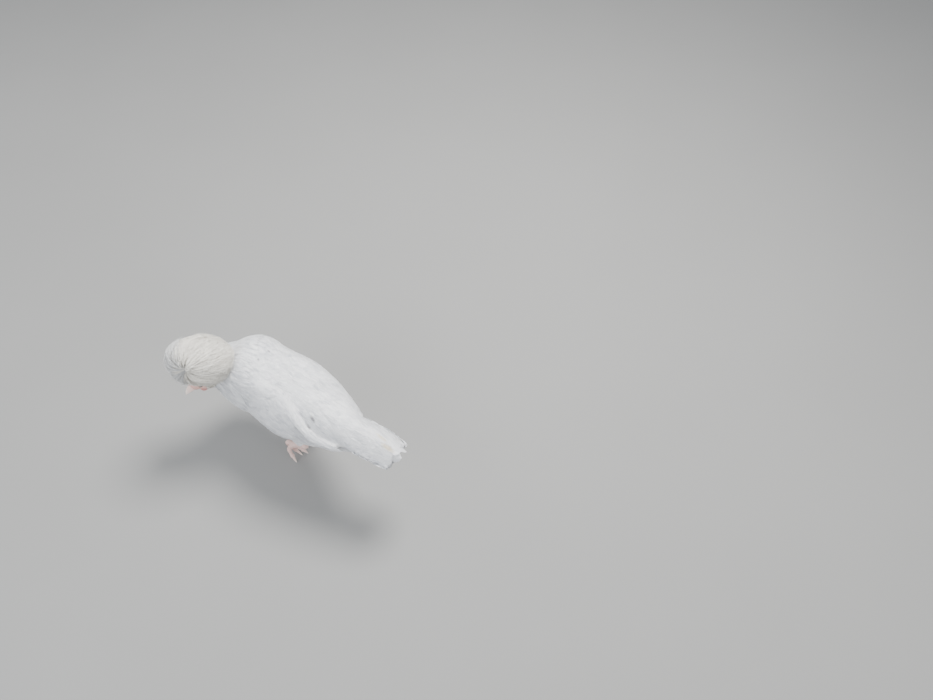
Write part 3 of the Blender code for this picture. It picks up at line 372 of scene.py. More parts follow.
def ring_triangles(sections, around):
    """Triangles of one vane, and which of them are on its upper side."""
    ring = np.arange(around)
    after = (ring + 1) % around
    faces, upper = [], []
    for i in range(sections - 1):
        low, high = around * i, around * (i + 1)
        faces.append(np.stack((low + ring, low + after, high + after), axis=1))
        faces.append(np.stack((low + ring, high + after, high + ring), axis=1))
        upper += [ring < 2, ring < 2]
    end = around * (sections - 1)
    caps = [(0, 2, 1), (end, end + 1, end + 2)]
    if around == 4:
        caps += [(0, 3, 2), (end, end + 2, end + 3)]
    faces.append(np.array(caps))
    upper.append(np.arange(len(caps)) < 2)
    return np.concatenate(faces), np.concatenate(upper)


def vane_mesh(name, centres, normals, halves, roots, tones, material, ring=VANE_RING, thickness=VANE_THICKNESS,
              droop=0.05, camber=0.25, shading=None):
    """Many vanes in one mesh. centres, normals and shading are (vanes, sections, 3), halves (vanes, sections)."""
    count, sections = halves.shape
    around = len(ring)
    tangents = unit(np.gradient(centres, axis=1))
    sides = unit(np.cross(tangents, normals))
    above = np.cross(sides, tangents)
    reach = halves[..., None, None]
    rise = np.minimum(thickness, reach * 0.6) * ring[:, 1, None] + reach * droop * ring[:, 2, None]
    rings = centres[:, :, None] + sides[:, :, None] * reach * ring[:, 0, None] + above[:, :, None] * rise
    one, upper = ring_triangles(sections, around)
    triangles = (one[None] + (np.arange(count) * around * sections)[:, None, None]).reshape(-1, 3)
    section, place = one // around, one % around
    soft = above if shading is None else shading
    turned = np.where(upper, 1.0, -1.0)[:, None, None]
    corners = soft[:, section] * turned + sides[:, section] * (camber * ring[place, 0])[..., None]
    share = np.broadcast_to(np.linspace(0, 1, sections)[None, :, None], (count, sections, around))
    across = np.broadcast_to(ring[None, None, :, 0], (count, sections, around))
    tone = np.broadcast_to(np.asarray(tones)[:, None, None], (count, sections, around))
    patches = np.empty((count, sections, around, 2))
    patches[..., 0] = roots[:, None, None, 0] + PATCH * 0.5 * across
    patches[..., 1] = roots[:, None, None, 1] + PATCH * (share - 0.5)
    length = np.linalg.norm(np.diff(centres, axis=1), axis=2).sum(axis=1)
    barb = share * length[:, None, None] - np.abs(across) * halves[..., None] * BARB_SLANT
    values = {"along": share.ravel(), "across": across.ravel(), "tone": tone.ravel(), "barb": barb.ravel()}
    made = big_mesh(
        name, rings.reshape(-1, 3), triangles, material, values, patches.reshape(-1, 2), unit(corners).reshape(-1, 3)
    )
    sharpen_rims(made.data, sections, around)
    return made


def sharpen_rims(mesh, sections, around):
    """Parts the upper from the lower side of each vane along its two edges and at its ends."""
    ends = np.empty(len(mesh.edges) * 2, np.int32)
    mesh.edges.foreach_get("vertices", ends)
    ends = ends.reshape(-1, 2)
    place, section = ends % around, (ends // around) % sections
    rim = ((place == 0) | (place == 2)).all(axis=1)
    same_side = place[:, 0] == place[:, 1]
    at_end = (section[:, 0] == section[:, 1]) & ((section[:, 0] == 0) | (section[:, 0] == sections - 1))
    mesh.attributes.new("sharp_edge", "BOOLEAN", "EDGE").data.foreach_set("value", rim & (same_side | at_end))
    mesh.update()


def body_patch(points):
    """Places on an unwrap of the body: once round it, and along it."""
    points = np.asarray(points)
    turn = np.arctan2(points[:, 0], points[:, 2] - 0.145) / (2 * np.pi) + 0.5
    along = (points[:, 1] + 0.180) / 0.420
    return np.stack((0.01 + 0.98 * turn, 0.01 + 0.98 * np.clip(along, 0, 1)), axis=1)


def crest_patch(polars, turns):
    """Places on an unwrap of the crest: rings round the whorl."""
    reach = np.asarray(polars) / np.pi * 0.48
    return np.stack((0.5 + reach * np.cos(turns), 0.5 + reach * np.sin(turns)), axis=1)


class Form:
    """A surface that feathers lie on, with its directions softened."""

    def __init__(self, made, softening=8):
        mesh = made.data
        self.middles, self.normals, self.areas = face_arrays(made)
        directions = np.empty(len(mesh.vertices) * 3)
        mesh.vertices.foreach_get("normal", directions)
        directions = directions.reshape(-1, 3)
        edges = np.empty(len(mesh.edges) * 2, np.int32)
        mesh.edges.foreach_get("vertices", edges)
        first, second = edges.reshape(-1, 2).T
        for _ in range(softening):
            total = directions.copy()
            np.add.at(total, first, directions[second])
            np.add.at(total, second, directions[first])
            directions = unit(total)
        self.tree = tree_of(made)
        self.faces = [Vector(unit(directions[list(f.vertices)].sum(axis=0))) for f in mesh.polygons]
        self.lies = [Vector((0, 1, 0))] * len(self.faces)

    def set_lies(self, lies):
        """The way feathers run at each face, laid on the form."""
        flat = lies - self.normals * np.einsum("ij,ij->i", lies, self.normals)[:, None]
        self.lies = [Vector(v) for v in unit(flat)]

    def nearest(self, spot):
        near, _, index, _ = self.tree.find_nearest(spot)
        return near, self.faces[index], self.lies[index]

    def lay(self, points):
        """Nearest places, their directions and the heights of the points over them."""
        shape = np.shape(points)
        flat = np.reshape(points, (-1, 3))
        found = [self.nearest(Vector(p)) for p in flat]
        places, directions = (np.array([tuple(f[i]) for f in found]) for i in range(2))
        heights = np.einsum("ij,ij->i", flat - places, directions)
        return places.reshape(shape), directions.reshape(shape), heights.reshape(shape[:-1])

    def scattered(self, count):
        """Seeded roots all over the form."""
        picks = dice.choice(len(self.areas), size=count, p=self.areas / self.areas.sum())
        shake = dice.normal(0, 0.0006, (count, 3))
        normals = self.normals[picks]
        shake -= normals * np.einsum("ij,ij->i", shake, normals)[:, None]
        return self.middles[picks] + shake


def fused(name, parts, voxel, softening):
    """One closed surface round several closed pieces, which are taken apart."""
    points, faces, start = [], [], 0
    for part in parts:
        points.append(points_of(part))
        faces += [tuple(start + v for v in face.vertices) for face in part.data.polygons]
        start += len(points[-1])
        bpy.data.objects.remove(part, do_unlink=True)
    made = solid(name, np.concatenate(points), faces)
    remesh = made.modifiers.new("one_skin", "REMESH")
    remesh.mode = "VOXEL"
    remesh.voxel_size = voxel
    smooth = made.modifiers.new("soften", "SMOOTH")
    smooth.factor = 0.5
    smooth.iterations = softening
    baked_down(made)
    made.data.shade_smooth()
    return made


# Torso, wing and crest shapes, as in the source


def torso_points(y, angle, lift):
    """Points on the torso at angles from its top, lifted off the surface."""
    y, angle = np.broadcast_arrays(np.asarray(y, float), np.asarray(angle, float))
    rows = smooth_rows(TORSO_STATIONS, y)
    z, half, rise, drop = (rows[..., i] for i in range(1, 5))
    height = np.where(np.cos(angle) > 0, rise, drop)
    normal = unit(np.stack((np.sin(angle) / half, np.zeros_like(y), np.cos(angle) / height), axis=-1))
    place = np.stack((bend(y) + half * np.sin(angle), y, z + height * np.cos(angle)), axis=-1)
    return place + normal * np.asarray(lift)[..., None], normal


def torso_loft(name, grow):
    share = np.linspace(0, 1, 61)
    first, last = TORSO_STATIONS[0][0], TORSO_STATIONS[-1][0]
    y = first + (last - first) * (share - 0.07 * np.sin(2 * np.pi * share))
    rows = smooth_rows(TORSO_STATIONS, y)
    middles = np.stack((bend(y), y, rows[:, 1]), axis=1)
    along = np.ones((len(y), 1))
    rings = ovals(middles, along * LEFT, along * UP, rows[:, 2] + grow, rows[:, 3] + grow, rows[:, 4] + grow, 64)
    return loft(name, rings)


def skull_loft(name, grow):
    share = np.linspace(0, 1, 41)
    first, last = SKULL_STATIONS[0][0], SKULL_STATIONS[-1][0]
    place = first + (last - first) * (share - 0.08 * np.sin(2 * np.pi * share))
    rows = smooth_rows(SKULL_STATIONS, place)
    middles = HEAD_MIDDLE + np.outer(place, HEAD_AXES[0]) + np.outer(rows[:, 1], HEAD_AXES[2])
    along = np.ones((len(place), 1))
    tall = rows[:, 3] + grow
    return loft(name, ovals(middles, along * HEAD_AXES[1], along * HEAD_AXES[2], rows[:, 2] + grow, tall, tall, 40))


def neck_loft(name, grow):
    places = np.linspace(0, 1, 33)
    table = [(i / (len(NECK_RADII) - 1), r) for i, r in enumerate(NECK_RADII)]
    return tube(name, curve_points(NECK_LINE, places), profile(table, places) + grow, 40)


WING_CORE_FRONT = -0.036
WING_CORE_REAR = 0.030
WING_CORE_TOP = ((0.0, 62), (0.3, 44), (0.7, 28), (1.0, 26))
WING_CORE_BOTTOM = ((0.0, 80), (0.4, 96), (0.8, 98), (1.0, 92))
WING_CORE_DEPTH = ((0.0, 0.0), (0.35, 0.0045), (0.75, 0.0055), (1.0, 0.0010))


def pad(outer, inner):
    """A closed pad between an outer and an inner grid of points."""
    rows, columns = outer.shape[:2]
    count = rows * columns
    grid = np.arange(count).reshape(rows, columns)
    a, b, c, d = grid[:-1, :-1], grid[:-1, 1:], grid[1:, 1:], grid[1:, :-1]
    upper = np.stack((a, b, c, d), axis=-1).reshape(-1, 4)
    faces = list(upper) + list(upper[:, ::-1] + count)
    rim = np.concatenate((grid[0], grid[1:, -1], grid[-1, -2::-1], grid[-2:0:-1, 0]))
    for this, following in zip(rim, np.roll(rim, -1)):
        faces.append((this, this + count, following + count, following))
    return solid("pad", np.concatenate((outer.reshape(-1, 3), inner.reshape(-1, 3))), faces)


def wing_pad(sign):
    """The flesh of the folded wing on the side of the torso."""
    share, v = np.meshgrid(np.linspace(0, 1, 30), np.linspace(0, 1, 24), indexing="ij")
    y = WING_CORE_FRONT + (WING_CORE_REAR - WING_CORE_FRONT) * share
    top, bottom = np.radians(profile(WING_CORE_TOP, share)), np.radians(profile(WING_CORE_BOTTOM, share))
    angle = (top + (bottom - top) * v) * sign
    lift = profile(WING_CORE_DEPTH, share) * np.sqrt(np.maximum(0.0, 1 - (2 * v - 1) ** 2))
    outer, _ = torso_points(y, angle, lift - 0.002)
    inner, _ = torso_points(y, angle, np.full_like(y, -0.010))
    return pad(outer, inner)


def crest_axes():
    long_axis = unit(CREST_LONG_AXIS)
    return long_axis, np.cross(UP, long_axis), UP


def crest_points(polars, turns, shares):
    """Points of the crest by angle from the whorl, angle round it and share of the depth."""
    whorl = unit(CREST_WHORL)
    first = unit(np.cross(whorl, UP))
    second = np.cross(whorl, first)
    sine = np.sin(polars)[..., None]
    rays = whorl * np.cos(polars)[..., None]
    rays = rays + (first * np.cos(turns)[..., None] + second * np.sin(turns)[..., None]) * sine
    points = np.broadcast_to(CREST_MIDDLE, rays.shape).copy()
    normals = np.zeros_like(rays)
    for axis, size in zip(crest_axes(), CREST_HALF_SIZES):
        part = (rays @ axis)[..., None]
        points += axis * part * size * np.asarray(shares)[..., None]
        normals += axis * part / size
    return points, unit(normals)


# Materials


class Nodes:
    """A short way to put nodes in a tree and join them."""

    def __init__(self, tree):
        self.tree = tree

    def add(self, kind, values=None, **settings):
        node = self.tree.nodes.new(kind)
        for key, value in settings.items():
            setattr(node, key, value)
        for key, value in (values or {}).items():
            self.put(node.inputs[key], value)
        return node

    def put(self, socket, value):
        if isinstance(value, bpy.types.NodeSocket):
            self.tree.links.new(value, socket)
        else:
            socket.default_value = value

    def math(self, operation, *values, clamp=False):
        node = self.add("ShaderNodeMath", operation=operation, use_clamp=clamp)
        for socket, value in zip(node.inputs, values):
            self.put(socket, value)
        return node.outputs[0]

    def mix(self, share, first, second, blend="MIX"):
        node = self.add("ShaderNodeMix", data_type="RGBA", blend_type=blend)
        self.put(node.inputs["Factor"], share)
        self.put(node.inputs["A"], first)
        self.put(node.inputs["B"], second)
        return node.outputs["Result"]

    def span(self, value, low, high, new_low=0.0, new_high=1.0):
        node = self.add("ShaderNodeMapRange", interpolation_type="SMOOTHSTEP")
        for key, number in (
            ("Value", value),
            ("From Min", low),
            ("From Max", high),
            ("To Min", new_low),
            ("To Max", new_high),
        ):
            self.put(node.inputs[key], number)
        return node.outputs["Result"]


def new_group(name, inputs, outputs):
    """An empty node group with named inputs and outputs."""
    group = bpy.data.node_groups.new(name, "ShaderNodeTree")
    for label, kind, value in inputs:
        socket = group.interface.new_socket(label, in_out="INPUT", socket_type=kind)
        socket.default_value = value
    for label, kind in outputs:
        group.interface.new_socket(label, in_out="OUTPUT", socket_type=kind)
    nodes = Nodes(group)
    start = nodes.add("NodeGroupInput")
    end = nodes.add("NodeGroupOutput")
    return group, nodes, start, end


FLOAT, VECTOR = "NodeSocketFloat", "NodeSocketVector"


def barb_group():
    """Fine slanting lines of a vane's barbs, and how they shade and lift the surface."""
    group, nodes, start, end = new_group(
        "feather_barbs",
        (
            ("Barb Place", FLOAT, 0.0),
            ("Across", FLOAT, 0.0),
            ("Tone", FLOAT, 0.0),
            ("Barbs Per Metre", FLOAT, 1600.0),
            ("Clumps Per Metre", FLOAT, 260.0),
        ),
        (("Lines", FLOAT), ("Clumps", FLOAT), ("Height", FLOAT)),
    )
    row = nodes.math("MULTIPLY", start.outputs["Tone"], 91.0)
    side = nodes.math("MULTIPLY", start.outputs["Across"], 1.3)
    results = []
    for key, detail in (("Barbs Per Metre", 2.0), ("Clumps Per Metre", 1.0)):
        along = nodes.math("MULTIPLY", start.outputs["Barb Place"], start.outputs[key])
        place = nodes.add("ShaderNodeCombineXYZ", {"X": along, "Y": row, "Z": side})
        pattern = nodes.add(
            "ShaderNodeTexNoise", {"Vector": place.outputs[0], "Scale": 1.0, "Detail": detail, "Roughness": 0.6}
        )
        results.append(pattern.outputs["Fac"])
    height = nodes.math("ADD", results[0], nodes.math("MULTIPLY", results[1], 1.4))
    nodes.put(end.inputs["Lines"], results[0])
    nodes.put(end.inputs["Clumps"], results[1])
    nodes.put(end.inputs["Height"], height)
    return group


def stain_and_shade_group():
    """A soft-edged mark round a place, broken up by a fine pattern, used for stains and for streaks of painted shade.
    """
    group, nodes, start, end = new_group(
        "stain_and_shade_mark",
        (
            ("Position", VECTOR, (0.0, 0.0, 0.0)),
            ("Place", VECTOR, (0.0, 0.0, 0.0)),
            ("Way", VECTOR, (0.0, 0.0, 0.0)),
            ("Reach", FLOAT, 0.004),
            ("Grain", FLOAT, 700.0),
        ),
        (("Mark", FLOAT),),
    )
    gap = nodes.add("ShaderNodeVectorMath", operation="SUBTRACT")
    nodes.put(gap.inputs[0], start.outputs["Position"])
    nodes.put(gap.inputs[1], start.outputs["Place"])
    along = nodes.add("ShaderNodeVectorMath", operation="DOT_PRODUCT")
    nodes.put(along.inputs[0], gap.outputs["Vector"])
    nodes.put(along.inputs[1], start.outputs["Way"])
    part = nodes.add("ShaderNodeVectorMath", {"Scale": along.outputs["Value"]}, operation="SCALE")
    nodes.put(part.inputs[0], start.outputs["Way"])
    rest = nodes.add("ShaderNodeVectorMath", operation="SUBTRACT")
    nodes.put(rest.inputs[0], gap.outputs["Vector"])
    nodes.put(rest.inputs[1], part.outputs["Vector"])
    size = nodes.add("ShaderNodeVectorMath", operation="LENGTH")
    nodes.put(size.inputs[0], rest.outputs["Vector"])
    grain = nodes.add("ShaderNodeTexNoise", {"Scale": start.outputs["Grain"], "Detail": 2.0})
    nodes.put(grain.inputs["Vector"], start.outputs["Position"])
    wobble = nodes.math("MULTIPLY_ADD", grain.outputs["Fac"], 0.9, -0.45)
    near = nodes.math("DIVIDE", size.outputs["Value"], start.outputs["Reach"])
    nodes.put(end.inputs["Mark"], nodes.span(nodes.math("ADD", near, wobble), 1.15, 0.35))
    return group


def mottle_group():
    """Soft uneven colour of skin and horn at two sizes."""
    group, nodes, start, end = new_group(
        "skin_mottle",
        (
            ("Position", VECTOR, (0.0, 0.0, 0.0)),
            ("Coarse", FLOAT, 160.0),
            ("Fine", FLOAT, 1500.0),
        ),
        (("Patches", FLOAT), ("Pores", FLOAT)),
    )
    for key, label, detail in (("Coarse", "Patches", 3.0), ("Fine", "Pores", 2.0)):
        pattern = nodes.add("ShaderNodeTexNoise", {"Scale": start.outputs[key], "Detail": detail})
        nodes.put(pattern.inputs["Vector"], start.outputs["Position"])
        nodes.put(end.inputs[label], pattern.outputs["Fac"])
    return group


BARBS = barb_group()
STAIN_AND_SHADE = stain_and_shade_group()
MOTTLE = mottle_group()


def new_material(name, **constants):
    """A material with the shader's plain numbers set."""
    material = bpy.data.materials.new(name)
    material.use_nodes = True
    nodes = Nodes(material.node_tree)
    shader = material.node_tree.nodes["Principled BSDF"]
    for key, value in constants.items():
        shader.inputs[key.replace("_", " ")].default_value = value
    return material, nodes, shader


def attribute(nodes, name):
    """Numbers that a piece keeps on its points."""
    return nodes.add("ShaderNodeAttribute", attribute_name=name).outputs["Fac"]


def use_group(nodes, group, values):
    """Places a shared effect in a material, with its own values."""
    node = nodes.add("ShaderNodeGroup", node_tree=group)
    for key, value in values.items():
        nodes.put(node.inputs[key], value)
    return node


def bump(nodes, height, strength, distance):
    """Directions that rise and fall with a height."""
    node = nodes.add("ShaderNodeBump", {"Height": height, "Strength": strength, "Distance": distance})
    return node.outputs["Normal"]


def rgb(red, green, blue):
    return (red, green, blue, 1.0)


def marks(nodes, colour, places):
    """A colour with small marks and streaks of painted shade drawn on it, each in its own row of places."""
    position = nodes.add("ShaderNodeTexCoord").outputs["Object"]
    for place, way, drawn, reach, tint, strength in places:
        squeeze = unit(np.array(way, float)) * math.sqrt(1 - 1 / drawn)
        values = {"Position": position, "Place": tuple(np.array(place) + SHIFT), "Way": tuple(squeeze), "Reach": reach}
        stain_and_shade = use_group(nodes, STAIN_AND_SHADE, values)
        colour = nodes.mix(nodes.math("MULTIPLY", stain_and_shade.outputs["Mark"], strength), colour, tint)
    return colour


# Dark specks and the tail's stains are the plumage's own marks; the grey streaks are painted shade between feathers.
DARK_SPECK = rgb(0.10, 0.09, 0.10)
PAINTED_SHADE_STREAK = rgb(0.40, 0.41, 0.44)
TAIL_STAIN = rgb(0.62, 0.50, 0.28)
# Place, the way the mark runs, its length over its width, its width, its colour and its strength
PLUMAGE_MARKS_AND_SHADE = (
    ((0.0297, 0.0918, 0.1859), (0.3, 1.0, -0.5), 2.0, 0.0034, DARK_SPECK, 0.75),
    ((0.0392, 0.0890, 0.1741), (0.3, 1.0, -0.6), 2.0, 0.0030, DARK_SPECK, 0.75),
    ((0.0360, 0.0800, 0.1800), (0.3, 1.0, -0.5), 4.0, 0.0036, PAINTED_SHADE_STREAK, 0.45),
    ((0.0507, -0.0240, 0.1655), (0.1, 1.0, -0.7), 6.0, 0.0028, PAINTED_SHADE_STREAK, 0.70),
    ((0.0520, -0.0080, 0.1570), (0.1, 1.0, -0.5), 6.0, 0.0024, PAINTED_SHADE_STREAK, 0.45),
    ((0.0385, 0.0242, 0.1996), (-0.6, 1.0, 0.6), 5.0, 0.0026, PAINTED_SHADE_STREAK, 0.55),
    ((-0.0200, -0.0276, 0.2106), (0.2, 1.0, 0.0), 1.5, 0.0022, DARK_SPECK, 0.60),
    ((0.0012, -0.0301, 0.2118), (0.2, 1.0, 0.0), 1.5, 0.0020, DARK_SPECK, 0.60),
    ((0.0189, 0.1102, 0.1922), (0.2, 1.0, -0.2), 7.0, 0.0026, PAINTED_SHADE_STREAK, 0.40),
    ((0.0058, 0.2068, 0.1748), (0.0, 1.0, -0.2), 4.0, 0.0042, TAIL_STAIN, 0.60),
    ((-0.0001, 0.1923, 0.1806), (0.0, 1.0, -0.2), 4.0, 0.0034, TAIL_STAIN, 0.50),
)


def feather_material(name, tints, barbs, clumps, relief, unevenness_and_streak_shade, places=()):
    """White feather: barb lines, a cooler root, and a per-feather tone towards the shaded colour: painted streaks of
    shade where the tones come from streaks, random variation where they are drawn at random.
    """
    root, tip, shade = tints
    material, nodes, shader = new_material(
        name, Roughness=0.62, Sheen_Weight=0.25, Sheen_Roughness=0.5, Specular_IOR_Level=0.35
    )
    along, across = attribute(nodes, "along"), attribute(nodes, "across")
    tone, place = attribute(nodes, "tone"), attribute(nodes, "barb")
    lines = use_group(
        nodes,
        BARBS,
        {
            "Barb Place": place,
            "Across": across,
            "Tone": tone,
            "Barbs Per Metre": barbs,
            "Clumps Per Metre": clumps,
        },
    )
    colour = nodes.mix(nodes.span(along, 0.10, 0.75), root, tip)
    # Per-feather tone towards the shaded colour: painted streaks of shade where the tones come from streaks, random
    # variation elsewhere.
    colour = nodes.mix(nodes.math("MULTIPLY", tone, unevenness_and_streak_shade), colour, shade)
    colour = nodes.mix(nodes.span(lines.outputs["Clumps"], 0.35, 0.70, 0.26, 0.0), colour, shade)
    colour = nodes.mix(nodes.span(lines.outputs["Lines"], 0.35, 0.65, 0.16, 0.0), colour, shade)
    if places:
        colour = marks(nodes, colour, places)
    nodes.put(shader.inputs["Base Color"], colour)
    nodes.put(shader.inputs["Roughness"], nodes.span(lines.outputs["Lines"], 0.3, 0.7, 0.70, 0.55))
    nodes.put(shader.inputs["Normal"], bump(nodes, lines.outputs["Height"], relief, 0.0006))
    return material


def skin_material():
    """White down over the body, bare pink skin where the face is bare."""
    material, nodes, shader = new_material("hen_skin", Roughness=0.6, Specular_IOR_Level=0.4)
    position = nodes.add("ShaderNodeTexCoord").outputs["Object"]
    mottle = use_group(nodes, MOTTLE, {"Position": position})
    bare = attribute(nodes, "bare")
    down = nodes.mix(nodes.span(mottle.outputs["Pores"], 0.35, 0.7), rgb(0.74, 0.74, 0.74), rgb(0.84, 0.84, 0.83))
    down = marks(nodes, down, PLUMAGE_MARKS_AND_SHADE)
    flesh = nodes.mix(mottle.outputs["Patches"], rgb(0.66, 0.34, 0.30), rgb(0.78, 0.50, 0.44))
    flesh = nodes.mix(nodes.span(mottle.outputs["Pores"], 0.45, 0.70, 0.0, 0.45), flesh, rgb(0.84, 0.62, 0.55))
    nodes.put(shader.inputs["Base Color"], nodes.mix(bare, down, flesh))
    nodes.put(shader.inputs["Normal"], bump(nodes, mottle.outputs["Pores"], 0.5, 0.0005))
    return material


def flesh_material(name, deep, light, roughness, grain, depth):
    """Comb, wattles, lids and earlobes: soft skin with fine grain."""
    material, nodes, shader = new_material(name, Specular_IOR_Level=0.5)
    position = nodes.add("ShaderNodeTexCoord").outputs["Object"]
    mottle = use_group(nodes, MOTTLE, {"Position": position, "Coarse": 260.0, "Fine": grain})
    colour = nodes.mix(nodes.span(mottle.outputs["Patches"], 0.35, 0.65), deep, light)
    colour = nodes.mix(nodes.span(mottle.outputs["Pores"], 0.55, 0.75, 0.0, 0.35), colour, light)
    nodes.put(shader.inputs["Base Color"], colour)
    nodes.put(shader.inputs["Roughness"], nodes.span(mottle.outputs["Pores"], 0.3, 0.7, roughness, roughness + 0.15))
    nodes.put(shader.inputs["Normal"], bump(nodes, mottle.outputs["Pores"], 0.6, depth))
    return material


def horn_material(name, base, tip, roughness):
    """Beak and claws: smooth horn with faint growth lines, darker or paler to the tip."""
    material, nodes, shader = new_material(name, Coat_Weight=0.15, Coat_Roughness=0.25, Specular_IOR_Level=0.5)
    position = nodes.add("ShaderNodeTexCoord").outputs["Object"]
    mottle = use_group(nodes, MOTTLE, {"Position": position, "Coarse": 420.0, "Fine": 2600.0})
    share = attribute(nodes, "along")
    rings = nodes.math("SINE", nodes.math("MULTIPLY", share, 70.0))
    rings = nodes.math("ADD", nodes.math("MULTIPLY", rings, 0.25), mottle.outputs["Patches"])
    colour = nodes.mix(nodes.span(share, 0.25, 1.0), base, tip)
    colour = nodes.mix(nodes.span(mottle.outputs["Patches"], 0.45, 0.7, 0.0, 0.25), colour, rgb(0.90, 0.80, 0.74))
    nodes.put(shader.inputs["Base Color"], colour)
    nodes.put(shader.inputs["Roughness"], nodes.span(rings, 0.2, 0.9, roughness, roughness + 0.12))
    nodes.put(shader.inputs["Normal"], bump(nodes, rings, 0.25, 0.0003))
    return material


def leg_material():
    """Pale pink scaly skin, greyer in the creases between the scales."""
    material, nodes, shader = new_material("leg_scale", Specular_IOR_Level=0.45)
    position = nodes.add("ShaderNodeTexCoord").outputs["Object"]
    mottle = use_group(nodes, MOTTLE, {"Position": position, "Coarse": 220.0, "Fine": 1800.0})
    crease = attribute(nodes, "crease")
    cells = nodes.add("ShaderNodeTexVoronoi", {"Scale": 620.0, "Randomness": 0.6}, feature="DISTANCE_TO_EDGE")
    nodes.put(cells.inputs["Vector"], position)
    seam = nodes.span(cells.outputs["Distance"], 0.0, 0.16, 1.0, 0.0)
    plain = attribute(nodes, "plain")
    seam = nodes.math("MULTIPLY", seam, plain)
    colour = nodes.mix(mottle.outputs["Patches"], rgb(0.74, 0.50, 0.46), rgb(0.86, 0.66, 0.60))
    dark = nodes.math("MAXIMUM", nodes.math("MULTIPLY", crease, 0.75), nodes.math("MULTIPLY", seam, 0.45))
    colour = nodes.mix(dark, colour, rgb(0.52, 0.33, 0.29))
    nodes.put(shader.inputs["Base Color"], colour)
    nodes.put(shader.inputs["Roughness"], nodes.span(mottle.outputs["Pores"], 0.3, 0.7, 0.42, 0.58))
    height = nodes.math("SUBTRACT", nodes.math("MULTIPLY", mottle.outputs["Pores"], 0.2), seam)
    nodes.put(shader.inputs["Normal"], bump(nodes, height, 0.5, 0.0003))
    return material


def eye_material():
    """Dark pupil, red-brown iris with fine spokes, wet coat."""
    material, nodes, shader = new_material(
        "eye", Roughness=0.10, Coat_Weight=1.0, Coat_Roughness=0.03, Specular_IOR_Level=0.6
    )
    gaze = attribute(nodes, "gaze")
    position = nodes.add("ShaderNodeTexCoord").outputs["Object"]
    spokes = nodes.add("ShaderNodeTexNoise", {"Scale": 1400.0, "Detail": 2.0})
    nodes.put(spokes.inputs["Vector"], position)
    iris = nodes.mix(nodes.span(spokes.outputs["Fac"], 0.3, 0.7), rgb(0.30, 0.07, 0.02), rgb(0.62, 0.22, 0.05))
    colour = nodes.mix(nodes.span(gaze, 0.36, 0.42), rgb(0.006, 0.005, 0.005), iris)
    colour = nodes.mix(nodes.span(gaze, 0.78, 0.90), colour, rgb(0.05, 0.02, 0.02))
    nodes.put(shader.inputs["Base Color"], colour)
    return material


# Each feather's root, tip and shaded barbs
WHITE = (rgb(0.80, 0.81, 0.83), rgb(0.93, 0.93, 0.935), rgb(0.52, 0.54, 0.58))
CREAM = (rgb(0.80, 0.77, 0.70), rgb(0.93, 0.905, 0.84), rgb(0.58, 0.55, 0.49))
GREY = (rgb(0.62, 0.62, 0.62), rgb(0.80, 0.80, 0.79), rgb(0.46, 0.46, 0.46))

BODY_FEATHER = feather_material(
    "white_plumage", WHITE, barbs=1800, clumps=360, relief=0.5, unevenness_and_streak_shade=0.66, places=PLUMAGE_MARKS_AND_SHADE
)
BODY_BARB = feather_material(
    "loose_barbs", WHITE, barbs=1800, clumps=360, relief=0.3, unevenness_and_streak_shade=0.80, places=PLUMAGE_MARKS_AND_SHADE
)
FLIGHT_FEATHER = feather_material(
    "white_vanes", WHITE, barbs=1400, clumps=240, relief=0.40, unevenness_and_streak_shade=0.42, places=PLUMAGE_MARKS_AND_SHADE
)
HACKLE_FEATHER = feather_material(
    "hackle_plumage", WHITE, barbs=1600, clumps=300, relief=0.5, unevenness_and_streak_shade=0.85, places=PLUMAGE_MARKS_AND_SHADE
)
CREST_FEATHER = feather_material("crest_plumage", CREAM, barbs=1400, clumps=240, relief=0.30, unevenness_and_streak_shade=0.36)
CREST_STRAND = feather_material("crest_strands", CREAM, barbs=1400, clumps=240, relief=0.30, unevenness_and_streak_shade=0.50)
FRINGE_FEATHER = feather_material("fringe_plumage", GREY, barbs=1400, clumps=240, relief=0.20, unevenness_and_streak_shade=0.45)
SKIN = skin_material()
COMB = flesh_material("comb_skin", rgb(0.62, 0.24, 0.22), rgb(0.78, 0.42, 0.38), 0.42, 2600.0, 0.0004)
LID = flesh_material("lid_skin", rgb(0.66, 0.34, 0.30), rgb(0.80, 0.52, 0.46), 0.45, 3000.0, 0.0003)
EARLOBE = flesh_material("earlobe_skin", rgb(0.82, 0.76, 0.72), rgb(0.90, 0.87, 0.83), 0.5, 2600.0, 0.0004)
HORN = horn_material("horn", rgb(0.84, 0.62, 0.56), rgb(0.90, 0.78, 0.70), 0.35)
LEG = leg_material()
EYE = eye_material()


def settle(piece, slot, *nodes):
    """A finished piece rides on the hen and stands for its nodes, which are hidden; its slot is not used."""
    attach(piece, "root")
    if nodes:
        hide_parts(*nodes)


# Skin of torso, neck, head and thighs, with the cores under wings, tail and crest

BODY_COAT = 0.0030


def thigh_tube(sign, hock, grow=0.0):
    """The thigh, from inside the belly to the hock."""
    root = np.array((0.027 * sign, hock[1] - 0.036, hock[2] + 0.034))
    places = np.linspace(0, 1, 15)
    points = root + np.outer(places, hock + np.array((0, 0, 0.003)) - root)
    return tube("thigh", points, 0.0225 - 0.0165 * places**0.8 + grow, 32, LEFT)


def tail_core():
    """The stump that the tail's feathers stand on."""
    share = np.linspace(0, 1, 16)
    y = 0.140 + 0.050 * share
    middles = np.stack((bend(y), y, 0.162 - 0.004 * share), axis=1)
    size = 1 - 0.55 * share**1.5
    along = np.ones((len(y), 1))
    rings = ovals(middles, along * LEFT, along * UP, 0.0220 * size, 0.0250 * size, 0.0320 * size, 32)
    return loft("tail_core", rings)


